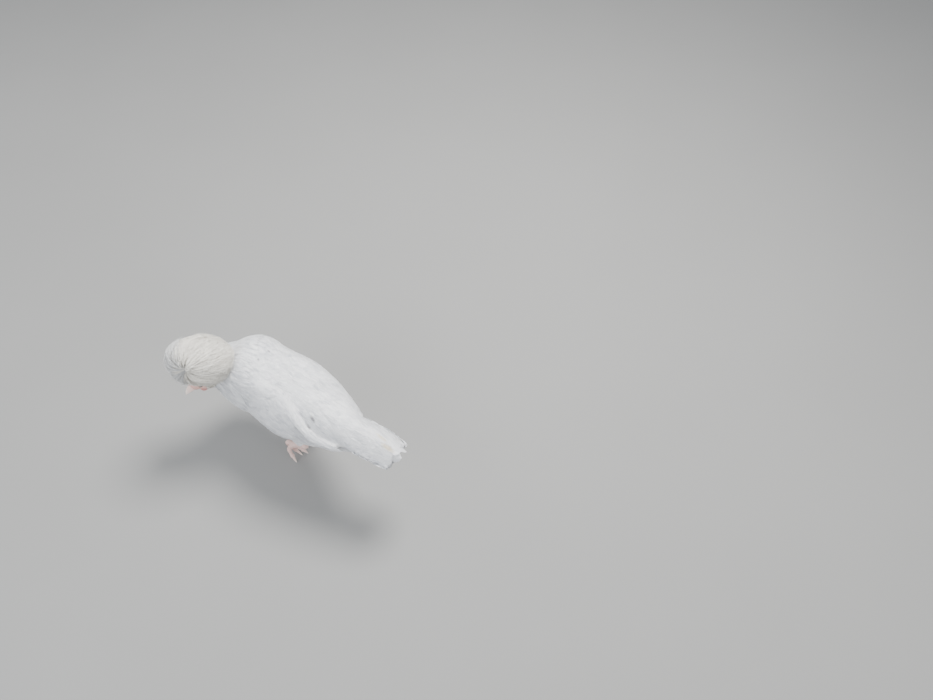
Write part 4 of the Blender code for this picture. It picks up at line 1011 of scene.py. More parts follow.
def make_skin():
    """All the flesh as one skin without seams."""
    parts = [torso_loft("torso", -BODY_COAT), neck_loft("neck", -0.0010), skull_loft("skull", -0.0003)]
    parts += [thigh_tube(1, LEFT_HOCK), thigh_tube(-1, RIGHT_HOCK), tail_core()]
    parts += [wing_pad(1), wing_pad(-1)]
    parts.append(ball("throat", on_head(-0.010, 0, -0.010), HEAD_AXES, (0.018, 0.0135, 0.0150)))
    for sign in (1, -1):
        parts.append(ball("brow", on_head(0.0050, 0.0088 * sign, 0.0105), HEAD_AXES, (0.0095, 0.0042, 0.0036)))
        parts.append(ball("cheek", on_head(-0.0020, 0.0105 * sign, -0.0080), HEAD_AXES, (0.0105, 0.0056, 0.0060)))
    crest_size = tuple(size * 0.46 for size in CREST_HALF_SIZES)
    parts.append(ball("knob", CREST_MIDDLE, crest_axes(), crest_size, 40, 24))
    made = fused("hen_skin", parts, 0.0016, 6)
    made.data.materials.clear()
    made.data.materials.append(SKIN)
    return made


def bareness(points):
    """How bare of feathers the face is: 1 round the eyes and at the root of the beak."""
    local = in_head(points)
    eye = np.linalg.norm((local - np.array((0.0045, 0, 0.0015))) * np.array((1, 0, 1.1)), axis=1)
    lore = np.linalg.norm((local - np.array((0.0150, 0, -0.0010))) * np.array((1, 0.8, 0.9)), axis=1)
    inside = np.linalg.norm(local, axis=1) < 0.034
    value = np.clip((0.0135 - np.minimum(eye, lore)) / 0.0030, 0, 1)
    return np.where(inside & (local[:, 2] < 0.016), value, 0.0)


skin = make_skin()
point_values(skin.data, bare=bareness(points_of(skin)))
settle(skin, "white_feather", "torso", "neck", "head", "thigh_left", "thigh_right")


# Wings: the feathers run between the upper edge of the folded wing and its lower edge, to the wing tip

# Place along the body, and degrees from the body's top, of the folded wing's two edges
WING_TOP_LINE = (
    (-0.036, 46),
    (-0.002, 32),
    (0.028, 25),
    (0.052, 33),
    (0.070, 47),
    (0.086, 61),
    (0.103, 74),
    (0.126, 81),
    (0.153, 85),
)
WING_LOW_LINE = (
    (-0.034, 98),
    (-0.012, 103),
    (0.012, 105),
    (0.035, 105),
    (0.058, 104),
    (0.080, 103),
    (0.100, 101),
    (0.121, 98),
    (0.146, 95),
)

# How far the coverts stand off the body, along the wing
WING_LIFT = ((0.0, 0.0), (0.10, 0.0062), (0.24, 0.0108), (0.48, 0.0106), (0.66, 0.0100), (1.0, 0.0096))
WING_FORM_END = 0.95
VANE_PROFILE = ((0.0, 0.30), (0.15, 0.75), (0.4, 1.0), (0.75, 0.98), (0.92, 0.70), (1.0, 0.16))


def close_lying(along, sign):
    """The right wing's tip lies closer to the body than the left's."""
    return 1 - (0.55 if sign < 0 else 0.0) * np.clip((along - 0.55) / 0.40, 0, 1)


def flow_places(along, down):
    """Places along the body and angles from its top, by the ways along and down the folded wing."""
    top, low = curve_points(WING_TOP_LINE, along), curve_points(WING_LOW_LINE, along)
    place = top * (1 - down)[..., None] + low * down[..., None]
    return place[..., 0], np.radians(place[..., 1])


def wing_sheet(sign):
    """The closed pad under the coverts of one wing."""
    along, down = np.meshgrid(np.linspace(0, WING_FORM_END, 36), np.linspace(0, 1, 24), indexing="ij")
    y, angle = flow_places(along, down)
    rounding = 1 - 0.25 * np.clip(down - 0.7, 0, 1) / 0.3 - 0.30 * np.clip(1 - down / 0.12, 0, 1) ** 2
    lift = (profile(WING_LIFT, along) * close_lying(along, sign) + 0.0005) * rounding
    outer, _ = torso_points(y, angle * sign, lift)
    inner, _ = torso_points(y, angle * sign, np.where(along < 0.8, -0.006, -0.006 - 0.05 * (along - 0.8)))
    return pad(outer, inner)


def wing_flow_samples():
    """Places all over both wings, each with the way its feathers run and how far along and down it is."""
    along, down = np.meshgrid(np.linspace(0, 1, 60), np.linspace(0, 1, 24), indexing="ij")
    y, angle = flow_places(along, down)
    samples = []
    for sign in (1, -1):
        places, _ = torso_points(y, angle * sign, profile(WING_LIFT, along))
        samples.append(
            (places.reshape(-1, 3), unit(np.gradient(places, axis=0)).reshape(-1, 3), along.ravel(), down.ravel())
        )
    return [np.concatenate(a) for a in zip(*samples)]


def shoulder_fill(sign, first, last, top, height):
    """The soft slope of scapular feathers between the back and the top of the folded wing."""
    y, v = np.meshgrid(np.linspace(first, last, 40), np.linspace(0, 1, 20), indexing="ij")
    edge = np.interp(y, *np.array(WING_TOP_LINE).T) + 9
    angle = top + (edge - top) * v
    along = np.interp(y, (first, -0.045, 0.0, 0.03, last - 0.03, last), (0.0, 0.15, 0.75, 1.0, 1.0, 0.5))
    outer, _ = torso_points(y, np.radians(angle) * sign, height * (3 * v**2 - 2 * v**3) * along)
    inner, _ = torso_points(y, np.radians(angle) * sign, np.full_like(y, -0.006))
    return pad(outer, inner)


# The tail's ridge falls from its root to its tip, and its sides round off over their depth
TAIL_RIDGE = (0.1876, 0.1662)
TAIL_SLOPE_TOP = math.radians(28)
TAIL_ROUND = math.radians(54)
TAIL_DEPTH = 0.050
RIDGE_LAP = 0.0010

# Along the tail: how far the coverts stand off it, and how far down its sides reach
TAIL_COVER = ((0.120, 0.0010), (0.150, 0.0062), (0.184, 0.0064), (0.200, 0.0044), (0.222, 0.0014))
TAIL_REACH = ((0.120, 0.024), (0.157, 0.032), (0.190, 0.0345), (0.222, 0.0330))


def tail_place(y, down, lift, sign):
    """Places on the tail's tent, by the way along it and down its slope."""
    turn = TAIL_ROUND / TAIL_DEPTH
    angle = TAIL_SLOPE_TOP + turn * np.asarray(down)
    aside = (np.sin(angle) - math.sin(TAIL_SLOPE_TOP)) / turn
    drop = (math.cos(TAIL_SLOPE_TOP) - np.cos(angle)) / turn
    share = (y - TAIL_START) / (TAIL_TIP_Y - TAIL_START)
    ridge = TAIL_RIDGE[0] + (TAIL_RIDGE[1] - TAIL_RIDGE[0]) * share
    outside = np.stack((np.sin(angle) * sign, np.zeros_like(angle), np.cos(angle)), axis=-1)
    base = np.stack((bend(y) + aside * sign, y, ridge - drop), axis=-1)
    return base + outside * np.asarray(lift)[..., None], outside


def tail_form():
    """The closed shape under the tail coverts."""
    rings = []
    for y in np.linspace(0.122, 0.220, 28):
        downs = np.linspace(0.001, profile(TAIL_REACH, y), 9)
        lift = np.full(9, profile(TAIL_COVER, y))
        along = np.full(9, y)
        left, _ = tail_place(along, downs, lift, 1)
        right, _ = tail_place(along, downs, lift, -1)
        low = left[-1:] * 0.5 + right[-1:] * 0.5 + UP * 0.006
        rings.append(np.concatenate((left, low, right[::-1])))
    return loft("tail_form", rings)


def body_parts():
    """The closed pieces that the body's feathers lie on, without the wings."""
    parts = [torso_loft("torso", 0.0), neck_loft("neck", 0.0010), tail_core(), tail_form()]
    parts += [thigh_tube(1, LEFT_HOCK, 0.0015), thigh_tube(-1, RIGHT_HOCK, 0.0015)]
    parts.append(ball("throat", on_head(-0.012, 0, -0.010), HEAD_AXES, (0.018, 0.0145, 0.0160)))
    parts.append(ball("vent", np.array((bend(0.166), 0.166, 0.1560)), (LEFT, BACK, UP), (0.0150, 0.0400, 0.0170)))
    return parts


def lying_form(name, parts, softening):
    """A form for feathers to lie on, which isn't kept as a piece."""
    made = fused(name, parts, 0.0018, softening)
    form = Form(made)
    bpy.data.objects.remove(made, do_unlink=True)
    return form


def winged_parts():
    """The same pieces with the folded wings and the slopes above them."""
    parts = body_parts()
    parts += [wing_sheet(1), wing_sheet(-1)]
    parts.append(shoulder_fill(1, -0.085, 0.004, 12, 0.0085))
    parts.append(shoulder_fill(-1, -0.090, 0.132, 2, 0.0080))
    return parts


dice = np.random.default_rng(SEED)
body_form = lying_form("body_form", body_parts(), 8)
coat_form = lying_form("coat_form", winged_parts(), 14)
skin_form = Form(skin)


# Where the small feathers stand, how long they are and which way they lie


def neck_share(points):
    """How far along the neck line each point is, and how far from it."""
    line = curve_points(NECK_LINE, np.linspace(0, 1, 25))
    gaps = np.linalg.norm(points[:, None] - line[None], axis=2)
    return np.argmin(gaps, axis=1) / 24.0, gaps.min(axis=1)


def regions(points):
    """Shares of head, neck, thigh and crest at each point; the rest is body."""
    local = in_head(points)
    share, gap = neck_share(points)
    head = np.clip((local[:, 0] + 0.012) / 0.010, 0, 1) * (np.linalg.norm(local, axis=1) < 0.030)
    neck = np.clip((share - 0.06) / 0.30, 0, 1) * np.clip((0.058 - gap) / 0.02, 0, 1) * (1 - head)
    neck = np.where(points[:, 1] < -0.045, neck, 0.0)
    thigh = np.zeros(len(points))
    for hock in (LEFT_HOCK, RIGHT_HOCK):
        near = np.linalg.norm((points - (hock + np.array((0, -0.012, 0.010)))) * np.array((1.0, 0.8, 1.0)), axis=1)
        thigh = np.maximum(thigh, np.clip((0.034 - near) / 0.012, 0, 1))
    thigh = np.where(points[:, 2] < 0.112, thigh, 0.0)
    crest = np.linalg.norm((points - CREST_MIDDLE) / np.array((0.028, 0.028, 0.024)), axis=1) < 1.15
    return head, neck, thigh, crest


def lie_of(points, normals):
    """The direction in which feathers lie, before it is laid on the form."""
    head, neck, thigh, _ = regions(points)
    flank = np.abs(normals[:, 0])
    front = np.clip(-normals[:, 1], 0, 1)
    lie = np.tile(BACK, (len(points), 1)).astype(float)
    lie[:, 2] -= 0.22 * flank + 0.9 * front
    rump = np.clip((points[:, 1] - 0.10) / 0.05, 0, 1)
    lie[:, 0] -= np.sign(points[:, 0] - bend(points[:, 1])) * 0.25 * rump * flank
    fan = np.stack((points[:, 0] - 0.020, points[:, 1] + 0.112, points[:, 2] - 0.168), axis=1)
    down_neck = unit(unit(np.array(NECK_LINE[0]) - np.array(NECK_LINE[3])) + unit(fan) * 0.9)
    lie = lie * (1 - neck)[:, None] + down_neck * neck[:, None]
    lie = lie * (1 - head)[:, None] + (-HEAD_AXES[0] - 0.4 * HEAD_AXES[2]) * head[:, None]
    down_leg = np.array((0.0, 0.35, -1.0))
    lie = lie * (1 - thigh)[:, None] + down_leg * thigh[:, None]
    return unit(lie)


def spaced(points, spacing):
    """Keeps points that stand at least their spacing apart, first come first kept."""
    cell = float(spacing.max())
    grid, kept = {}, []
    keys = np.floor(points / cell).astype(int)
    for i, point in enumerate(points):
        x, y, z = keys[i]
        near = [
            j
            for dx in (-1, 0, 1)
            for dy in (-1, 0, 1)
            for dz in (-1, 0, 1)
            for j in grid.get((x + dx, y + dy, z + dz), ())
        ]
        if not near or ((points[near] - point) ** 2).sum(axis=1).min() > spacing[i] ** 2:
            kept.append(i)
            grid.setdefault((x, y, z), []).append(i)
    return np.array(kept)


def march(form, points, wander, lengths, lifts, sections):
    """Centre lines that follow a form's lie from each root, at the lifts given per section."""
    count = len(points)
    centres, normals = np.empty((count, sections, 3)), np.empty((count, sections, 3))
    for i in range(count):
        spot, aside = Vector(points[i]), Vector(wander[i])
        step = lengths[i] / (sections - 1)
        for s in range(sections):
            near, normal, lie = form.nearest(spot)
            centres[i, s] = near + normal * lifts[i, s]
            normals[i, s] = normal
            heading = lie + aside
            heading -= normal * heading.dot(normal)
            spot = near + heading.normalized() * step
    return centres, normals


SMALL_PROFILE = ((0.0, 0.40), (0.3, 0.85), (0.6, 1.0), (0.85, 0.82), (0.95, 0.50), (1.0, 0.16))
HACKLE_PROFILE = ((0.0, 0.55), (0.3, 0.95), (0.6, 1.0), (0.85, 0.65), (1.0, 0.10))
STRAND_PROFILE = ((0.0, 0.6), (0.4, 1.0), (0.8, 0.7), (1.0, 0.08))
LIE_PROFILE = ((0.0, -1.2), (0.25, 0.2), (0.6, 0.85), (1.0, 1.0))


def streaks(points, across, along):
    """Painted shade: soft streaks that run with the body, as a share of the shaded colour at each root."""
    rows = points * np.array((across, along, across))
    fine = rows * 2.3 + 7.0
    values = np.array([noise.noise(Vector(a)) + 0.7 * noise.noise(Vector(b)) for a, b in zip(rows, fine)])
    return np.clip(0.16 + 1.25 * values + dice.uniform(-0.12, 0.12, len(points)), 0, 1)


def lay_feathers(name, form, points, lengths, half, lift, outline, sections, material, ring=VANE_RING,
                 soft=0.55, stray=0.06):
    """Feathers that follow a form from their roots, in one piece."""
    count = len(points)
    wander = dice.normal(0, stray, points.shape)
    share = np.linspace(0, 1, sections)
    length = lengths * dice.uniform(0.85, 1.15, count)
    lifts = np.outer(lift * dice.uniform(0.6, 1.2, count), profile(LIE_PROFILE, share))
    centres, directions = march(form, points, wander, length, lifts, sections)
    halves = np.outer(half * dice.uniform(0.85, 1.15, count), profile(outline, share))
    # Tones from streaks: painted shade in soft streaks along the coat.
    tones = streaks(points, 280, 44)
    own = np.cross(unit(np.cross(np.gradient(centres, axis=1), directions)), unit(np.gradient(centres, axis=1)))
    piece = vane_mesh(
        name, centres, directions, halves, body_patch(points), tones, material, ring,
        shading=unit(own * (1 - soft) + directions * soft),
    )
    settle(piece, "white_feather")


# Places tried for each coat, the least spacing of those kept, and where the body's own feathers end
BODY_PLACES, NECK_PLACES, FACE_PLACES = 52000, 40000, 60000
BODY_SPACING, WING_SPACING, BARB_SPACING = 0.0042, 0.0032, 0.0023
HACKLE_SPACING, HACKLE_BARB_SPACING, FACE_SPACING = 0.0026, 0.0020, 0.0013
COAT_END = 0.206


def off_the_coat(points):
    """Places that carry no body feathers: the crest's knob, the bare face and the beak's root."""
    _, _, _, crest = regions(points)
    local = in_head(points)
    face = (local[:, 0] > -0.004) & (np.linalg.norm(local, axis=1) < 0.032)
    return crest | face


def wing_zone(points):
    """Which points stand on the wings, the way their feathers run, which show the long vanes, which are the tips."""
    _, _, off = body_form.lay(points)
    places, ways, along, down = wing_flow_samples()
    tree = KDTree(len(places))
    for i, place in enumerate(places):
        tree.insert(place, i)
    tree.balance()
    found = [tree.find(p) for p in points]
    index = np.array([f[1] for f in found])
    gap = np.array([f[2] for f in found])
    left = points[:, 0] > bend(points[:, 1])
    covered = np.where(down[index] < np.where(left, 0.12, 0.42), np.where(left, 0.74, 0.80), np.where(left, 0.34, 0.42))
    wing = (off > 0.0012) & (gap < 0.007)
    vanes = wing & (along[index] > covered + dice.uniform(-0.07, 0.10, len(points)))
    return wing, ways[index], vanes, (gap < 0.010) & (along[index] > 0.82)


def set_lies():
    """Gives each form the way its feathers run: the wings' own over the wings, the body's elsewhere."""
    lies = lie_of(coat_form.middles, coat_form.normals)
    wing, ways, _, _ = wing_zone(coat_form.middles)
    coat_form.set_lies(np.where(wing[:, None], ways, lies))
    skin_form.set_lies(lie_of(skin_form.middles, skin_form.normals))


def dress_body():
    """Contour feathers over body and wing coverts, then a finer layer of loose barbs."""
    points = coat_form.scattered(BODY_PLACES)
    points = points[~off_the_coat(points) & (points[:, 1] < COAT_END)]
    wing, _, vanes, tips = wing_zone(points)
    head, neck, thigh, _ = regions(points)
    shown = ~vanes & (neck < 0.5) & (head < 0.4)
    kept = np.flatnonzero(shown)
    spacing = np.where(wing[kept], WING_SPACING, BODY_SPACING)
    kept = kept[spaced(points[kept], spacing)]
    y = points[:, 1]
    lengths = 0.0160 + 0.0120 * np.clip((y + 0.06) / 0.20, 0, 1) - 0.002 * wing - 0.004 * thigh
    halves = np.where(wing, 0.0036, 0.0046) + 0.0008 * np.clip((y - 0.05) / 0.10, 0, 1)
    for name, part in (("breast_feathers", y[kept] < 0.020), ("saddle_feathers", y[kept] >= 0.020)):
        chosen = kept[part]
        lay_feathers(
            name, coat_form, points[chosen], lengths[chosen], half=halves[chosen], lift=0.0008,
            outline=SMALL_PROFILE, sections=7, material=BODY_FEATHER,
        )
    again = np.flatnonzero((shown | vanes) & ~tips)[::-1]
    again = again[spaced(points[again], np.full(len(again), BARB_SPACING))]
    for name, part in (
        ("breast_barbs", y[again] < -0.010),
        ("back_barbs", (y[again] >= -0.010) & (y[again] < 0.070)),
        ("rump_barbs", y[again] >= 0.070),
    ):
        chosen = again[part]
        lay_feathers(
            name, coat_form, points[chosen], lengths[chosen] * 0.8, half=0.00046, lift=0.0014,
            outline=STRAND_PROFILE, sections=6, material=BODY_BARB, ring=STRAND_RING, soft=0.6, stray=0.10,
        )


def dress_neck():
    """The hackle: long narrow feathers that fan from under the crest over the shoulders."""
    points = coat_form.scattered(NECK_PLACES)
    _, neck, _, _ = regions(points)
    chosen = np.flatnonzero((neck > 0.35) & ~off_the_coat(points))
    kept = chosen[spaced(points[chosen], np.full(len(chosen), HACKLE_SPACING))]
    lay_feathers(
        "hackle_feathers", coat_form, points[kept], np.full(len(kept), 0.030), half=0.0024, lift=0.0017,
        outline=HACKLE_PROFILE, sections=8, material=HACKLE_FEATHER,
    )
    kept = chosen[::-1][spaced(points[chosen[::-1]], np.full(len(chosen), HACKLE_BARB_SPACING))]
    lay_feathers(
        "hackle_barbs", coat_form, points[kept], np.full(len(kept), 0.027), half=0.00045, lift=0.0024,
        outline=STRAND_PROFILE, sections=7, material=BODY_BARB, ring=STRAND_RING, soft=0.8, stray=0.09,
    )


def dress_face():
    """Short feathers on the cheeks, brow and throat, round the bare skin."""
    points = skin_form.scattered(FACE_PLACES)
    _, _, _, crest = regions(points)
    local = in_head(points)
    near = np.linalg.norm(local, axis=1) < 0.036
    clear = (bareness(points) < 0.25) & (local[:, 0] < 0.0125)
    chosen = np.flatnonzero(near & clear & ~crest & (local[:, 0] > -0.016))
    kept = chosen[spaced(points[chosen], np.full(len(chosen), FACE_SPACING))]
    lay_feathers(
        "face_feathers", skin_form, points[kept], np.full(len(kept), 0.0068), half=0.0009, lift=0.0009,
        outline=HACKLE_PROFILE, sections=6, material=HACKLE_FEATHER, stray=0.10,
    )


set_lies()
dress_body()
dress_neck()
dress_face()

QUILL_RADIUS = 0.00032
QUILL_LIFT = 0.00012


def rolled(centres, normals, roll):
    """Normals turned about the feather's own line, so that each feather lies over the next."""
    tangents = unit(np.gradient(centres, axis=1))
    sides = unit(np.cross(tangents, normals))
    above = np.cross(sides, tangents)
    return above * math.cos(roll) - sides * math.sin(roll)


def soft_shading(form, centres, normals, share):
    """Directions between a vane's own and those of the form beneath it."""
    _, directions, _ = form.lay(centres)
    return unit(normals * (1 - share) + directions * share)


def notched(halves, depth):
    """Vane outlines with a few small splits between the barbs."""
    count, sections = halves.shape
    cuts = dice.uniform(0, 1, (count, sections)) < 0.08
    cuts[:, : sections // 3] = False
    return halves * np.where(cuts, 1 - depth, 1.0) * dice.uniform(0.985, 1.015, halves.shape)


def shafts(name, centres, normals):
    """The quill of each vane, as a fine ridge that tapers to the tip."""
    share = np.linspace(1.0, 0.25, centres.shape[1])
    halves = np.broadcast_to(QUILL_RADIUS * share, centres.shape[:2])
    lifted = centres + normals * QUILL_LIFT
    roots = body_patch(centres[:, 0])
    tones = np.full(len(centres), 0.2)
    return vane_mesh(
        name, lifted, normals, halves, roots, tones, FLIGHT_FEATHER, STRAND_RING, thickness=QUILL_RADIUS * 0.6,
        droop=0.0,
    )


def dress_wing(side, sign):
    """Greater coverts, secondaries and primaries, each feather along its own line of the wing."""
    # Count, start and end along the wing, first and last place down it, how much shorter the lower ones are,
    # half the width, and the lift along each feather
    tiers = (
        (9, 0.52, 1.00, 0.11, 0.94, 0.04, 0.0058, ((0.0, 0.0040), (0.4, 0.0072), (1.0, 0.0108))),
        (16, 0.20, 0.90, 0.10, 0.97, 0.12, 0.0066, ((0.0, 0.0040), (0.35, 0.0084), (1.0, 0.0098))),
        (15, 0.05, 0.56, 0.12, 0.98, 0.06, 0.0062, ((0.0, 0.0010), (0.35, 0.0098), (1.0, 0.0102))),
    )
    t = np.linspace(0, 1, 20)[None]
    lines, directions, outlines = [], [], []
    for count, start, end, first, last, shorter, half, lifts in tiers:
        down = np.linspace(first, last, count)[:, None]
        ends = end - shorter * down + dice.uniform(-0.008, 0.008, (count, 1)) - (0.10 if sign < 0 else 0.0)
        along = start + (ends - start) * t
        y, angle = flow_places(along, np.broadcast_to(down, along.shape))
        lift = profile(lifts, np.broadcast_to(t, along.shape)) * close_lying(along, sign) - 0.0012 * down
        centres, normals = torso_points(y, angle * sign, lift)
        lines.append(centres)
        directions.append(rolled(centres, normals, math.radians(3.5) * sign))
        outlines.append(notched(np.outer(half * dice.uniform(0.95, 1.05, count), profile(VANE_PROFILE, t[0])), 0.12))
    centres, normals, halves = (np.concatenate(a) for a in (lines, directions, outlines))
    shading = soft_shading(coat_form, centres, normals, 0.80)
    tones = dice.uniform(0, 1, len(centres))
    roots = body_patch(centres[:, 0])
    vanes = vane_mesh(
        f"wing_{side}_vanes", centres, normals, halves, roots, tones, FLIGHT_FEATHER, droop=0.06, shading=shading
    )
    settle(vanes, "white_feather", f"wing_{side}")
    settle(shafts(f"wing_{side}_quills", centres, normals), "white_feather")


for wing_side, wing_sign in (("left", 1), ("right", -1)):
    dress_wing(wing_side, wing_sign)


# Tail: a tent of long feathers with coverts over it


def tail_lines(sign, downs_root, downs_tip, lifts, root_ys, tip_ys, sections=18):
    """Lines along the tail's tent from each feather's root to its tip."""
    t = np.linspace(0, 1, sections)[None]
    y = root_ys[:, None] + (tip_ys - root_ys)[:, None] * t
    down = downs_root[:, None] + (downs_tip - downs_root)[:, None] * t
    centres, outside = tail_place(y, down, lifts[:, None] * np.minimum(1.0, 0.4 + 2 * t), sign)
    return centres, outside


def dress_tail():
    """Two tiers of long feathers on each side of the tail, each under the one above it."""
    lines, directions, outlines = [], [], []
    share = np.linspace(0, 1, 18)
    # Count, spacing at the tip and at the root, half the width, how much deeper each lies than the last,
    # lift, end of the first, how much sooner each ends than the last, and root
    tiers = (
        (9, 0.0027, 0.0026, 0.0072, 0.0008, 0.0, TAIL_TIP_Y, 0.0011, 0.157),
        (8, 0.0028, 0.0028, 0.0068, 0.0006, 0.0018, 0.219, 0.0011, 0.150),
    )
    for sign in (1, -1):
        for count, step_tip, step_root, half, under, lift, tip_y, retreat, root_y in tiers:
            j = np.arange(count)
            edge = half - RIDGE_LAP * sign
            tips = tip_y - retreat * j - 0.00022 * j**2 - 0.0012 * (j == 0) + dice.uniform(-0.001, 0.001, count)
            centres, normals = tail_lines(
                sign, edge + step_root * j, edge + step_tip * j, lift - under * j, np.full(count, root_y), tips
            )
            lines.append(centres)
            directions.append(normals)
            outlines.append(notched(np.outer(np.full(count, half), profile(VANE_PROFILE, share)), 0.12))
    centres, normals, halves = (np.concatenate(a) for a in (lines, directions, outlines))
    tones = dice.uniform(0, 1, len(centres))
    roots = body_patch(centres[:, 0])
    shading = soft_shading(coat_form, centres, normals, 0.6)
    vanes = vane_mesh("tail_vanes", centres, normals, halves, roots, tones, FLIGHT_FEATHER, droop=0.04, shading=shading)
    settle(vanes, "white_feather", "tail")
    settle(shafts("tail_quills", centres, normals), "white_feather")


def dress_ridge():
    """Soft coverts folded over the tail's ridge, each behind the last."""
    count = 40
    root = np.linspace(0.140, 0.203, count) + dice.uniform(-0.001, 0.001, count)
    tip = np.minimum(root + 0.030, TAIL_TIP_Y - 0.0060)
    t = np.linspace(0, 1, 10)[None]
    y = root[:, None] + (tip - root)[:, None] * t
    centres, _ = tail_place(y, np.zeros_like(y), np.zeros_like(y), 1)
    lift = profile(((0.14, 0.0040), (0.184, 0.0050), (0.205, 0.0026), (0.232, 0.0006)), y)
    centres = centres + UP * (lift + 0.0004 * t)[..., None]
    centres[..., 0] += dice.normal(0, 0.0012, count)[:, None]
    normals = np.broadcast_to(UP, centres.shape).copy()
    halves = np.outer(np.full(count, 0.0060), profile(SMALL_PROFILE, t[0]))
    piece = vane_mesh(
        "tail_ridge_feathers", centres, normals, halves, body_patch(centres[:, 0]), dice.uniform(0, 1, count),
        BODY_FEATHER, droop=0.45, camber=0.7,
    )
    settle(piece, "white_feather")


dress_tail()
dress_ridge()


# Crest: flat soft feathers and fine strands that leave the whorl above the beak and run back over the crown

# Locks don't hang before the face: this far forward on the head and below this height
FACE_FRONT = 0.009
FACE_TOP = 0.1835
LOCK_ROOT_DEPTH = 0.64
LOW_LOCK_REACH = 0.72
CREST_ROOM = 0.0046
CREST_EDGE = math.radians(122)
CREST_CLUMPS = 0.030
FRINGE_SIDE = unit(np.array((0.62, -0.78, -0.10)))
NAPE_SIDE = unit(np.array((-0.60, 0.78, 0.05)))


def lock_lines(polars, turns, sweeps, twists, reaches, curls, sections):
    """Lines that leave the crest's inside at their roots and sweep away from the whorl near its surface."""
    t = np.linspace(0, 1, sections)[None]
    depth = LOCK_ROOT_DEPTH + (reaches[:, None] - LOCK_ROOT_DEPTH) * np.sin(0.5 * np.pi * t**0.5)
    wave = curls[:, None] * np.sin(np.pi * 1.5 * t) * t
    return crest_points(polars[:, None] + sweeps[:, None] * t, turns[:, None] + (twists[:, None] + wave) * t, depth)


def hides_face(tips):
    """Which tips would hang before the face."""
    local = (tips - HEAD_MIDDLE) @ HEAD_AXES[0]
    return (local > FACE_FRONT) & (tips[..., 2] < FACE_TOP)


def clear_of(form, centres, room):
    """Points that would sink into the neck or back are moved out to lie over their feathers."""
    places, directions, heights = form.lay(centres)
    return centres + directions * np.maximum(0.0, room - heights)[..., None]


def clumps(polars, turns):
    """How far the tufts of the crest stand out or fall back, from -1 to 1, round the whorl."""
    rows = np.stack((np.cos(turns) * 3.4, np.sin(turns) * 3.4, polars * 1.6 + 3.0), axis=1)
    return np.clip([1.6 * noise.noise(Vector(a)) + 0.9 * noise.noise(Vector(a * 2.4)) for a in rows], -1, 1)


def lay_locks(name, count, sections, half, outline, ring, camber, spread, reach, curl, material, edge=None):
    """One layer of the crest, over its whole crown or along one edge alone."""
    extra = count * 8 if edge is not None else count
    polars = np.arccos(1 - (1 - math.cos(CREST_EDGE)) * dice.uniform(0, 1, extra) ** 0.9)
    turns = dice.uniform(0, 2 * np.pi, extra)
    sweeps = np.radians(dice.uniform(*spread, extra))
    twists = np.radians(dice.normal(0, 4, extra))
    reaches = dice.uniform(*reach, extra)
    curls = np.radians(dice.normal(0, curl, extra))
    reaches = reaches * (1 + CREST_CLUMPS * clumps(polars, turns))
    centres, normals = lock_lines(polars, turns, sweeps, twists, reaches, curls, sections)
    if edge is not None:
        side = unit(centres[:, -1] - CREST_MIDDLE) @ edge
        kept = np.flatnonzero(side > 0.45)[:count]
        polars, turns, sweeps, twists, reaches, curls = (
            a[kept] for a in (polars, turns, sweeps, twists, reaches, curls)
        )
        centres, normals = centres[kept], normals[kept]
    for share in (0.75, 0.5):
        hidden = hides_face(centres[:, -1])
        again, turned = lock_lines(polars, turns, sweeps * share, twists, reaches, curls, sections)
        centres[hidden], normals[hidden] = again[hidden], turned[hidden]
    low = hides_face(centres[:, -1])
    reaches = np.full(len(polars), LOW_LOCK_REACH)
    again, turned = lock_lines(polars, turns, sweeps * 0.7, twists, reaches, curls, sections)
    centres[low], normals[low] = again[low], turned[low]
    centres = clear_of(body_form, centres, CREST_ROOM)
    widths = np.where(low, 0.45, 1.0) * half * dice.uniform(0.75, 1.25, len(polars))
    halves = np.outer(widths, profile(outline, np.linspace(0, 1, sections)))
    round_whorl = np.stack((np.cos(turns) * 6, np.sin(turns) * 6, polars * 0.8), axis=1)
    # Tones from streaks round the whorl: painted shade in streaks that radiate over the crest.
    tones = streaks(round_whorl, 1.0, 1.0)
    piece = vane_mesh(
        name, centres, normals, halves, crest_patch(polars, turns), tones, material, ring, camber=camber,
        shading=normals,
    )
    settle(piece, "crest_feather", "crest")


def dress_crest():
    """Soft feathers, two layers of strands over them, a fringe over the brow and wisps over the nape."""
    outline = ((0.0, 0.6), (0.3, 0.95), (0.6, 1.0), (0.85, 0.75), (0.95, 0.4), (1.0, 0.10))
    lay_locks(
        "crest_feathers", 1500, 9, half=0.0024, outline=outline, ring=VANE_RING, camber=0.25, spread=(34, 56),
        reach=(0.905, 0.965), curl=3, material=CREST_FEATHER,
    )
    for name, reach in (("crest_strands_low", (0.93, 0.985)), ("crest_strands_top", (0.95, 1.020))):
        lay_locks(
            name, 4400, 8, half=0.00044, outline=STRAND_PROFILE, ring=STRAND_RING, camber=0.40, spread=(30, 60),
            reach=reach, curl=4, material=CREST_STRAND,
        )
    for name, sections, spread, curl, material, edge in (
        ("crest_fringe", 11, (34, 66), 8, FRINGE_FEATHER, FRINGE_SIDE),
        ("crest_wisps", 10, (46, 82), 7, CREST_STRAND, NAPE_SIDE),
    ):
        lay_locks(
            name, 2300, sections, half=0.00036, outline=STRAND_PROFILE, ring=STRAND_RING, camber=0.40, spread=spread,
            reach=(0.93, 1.09), curl=curl, material=material, edge=edge,
        )


dress_crest()


# Head: eyes, lids, beak, comb, wattles, earlobes


def both_sides(place):
    """The name, sign and place of a piece on each side of the head."""
    forward, left, up = place
    return (("left", 1, (forward, left, up)), ("right", -1, (forward, -left, up)))


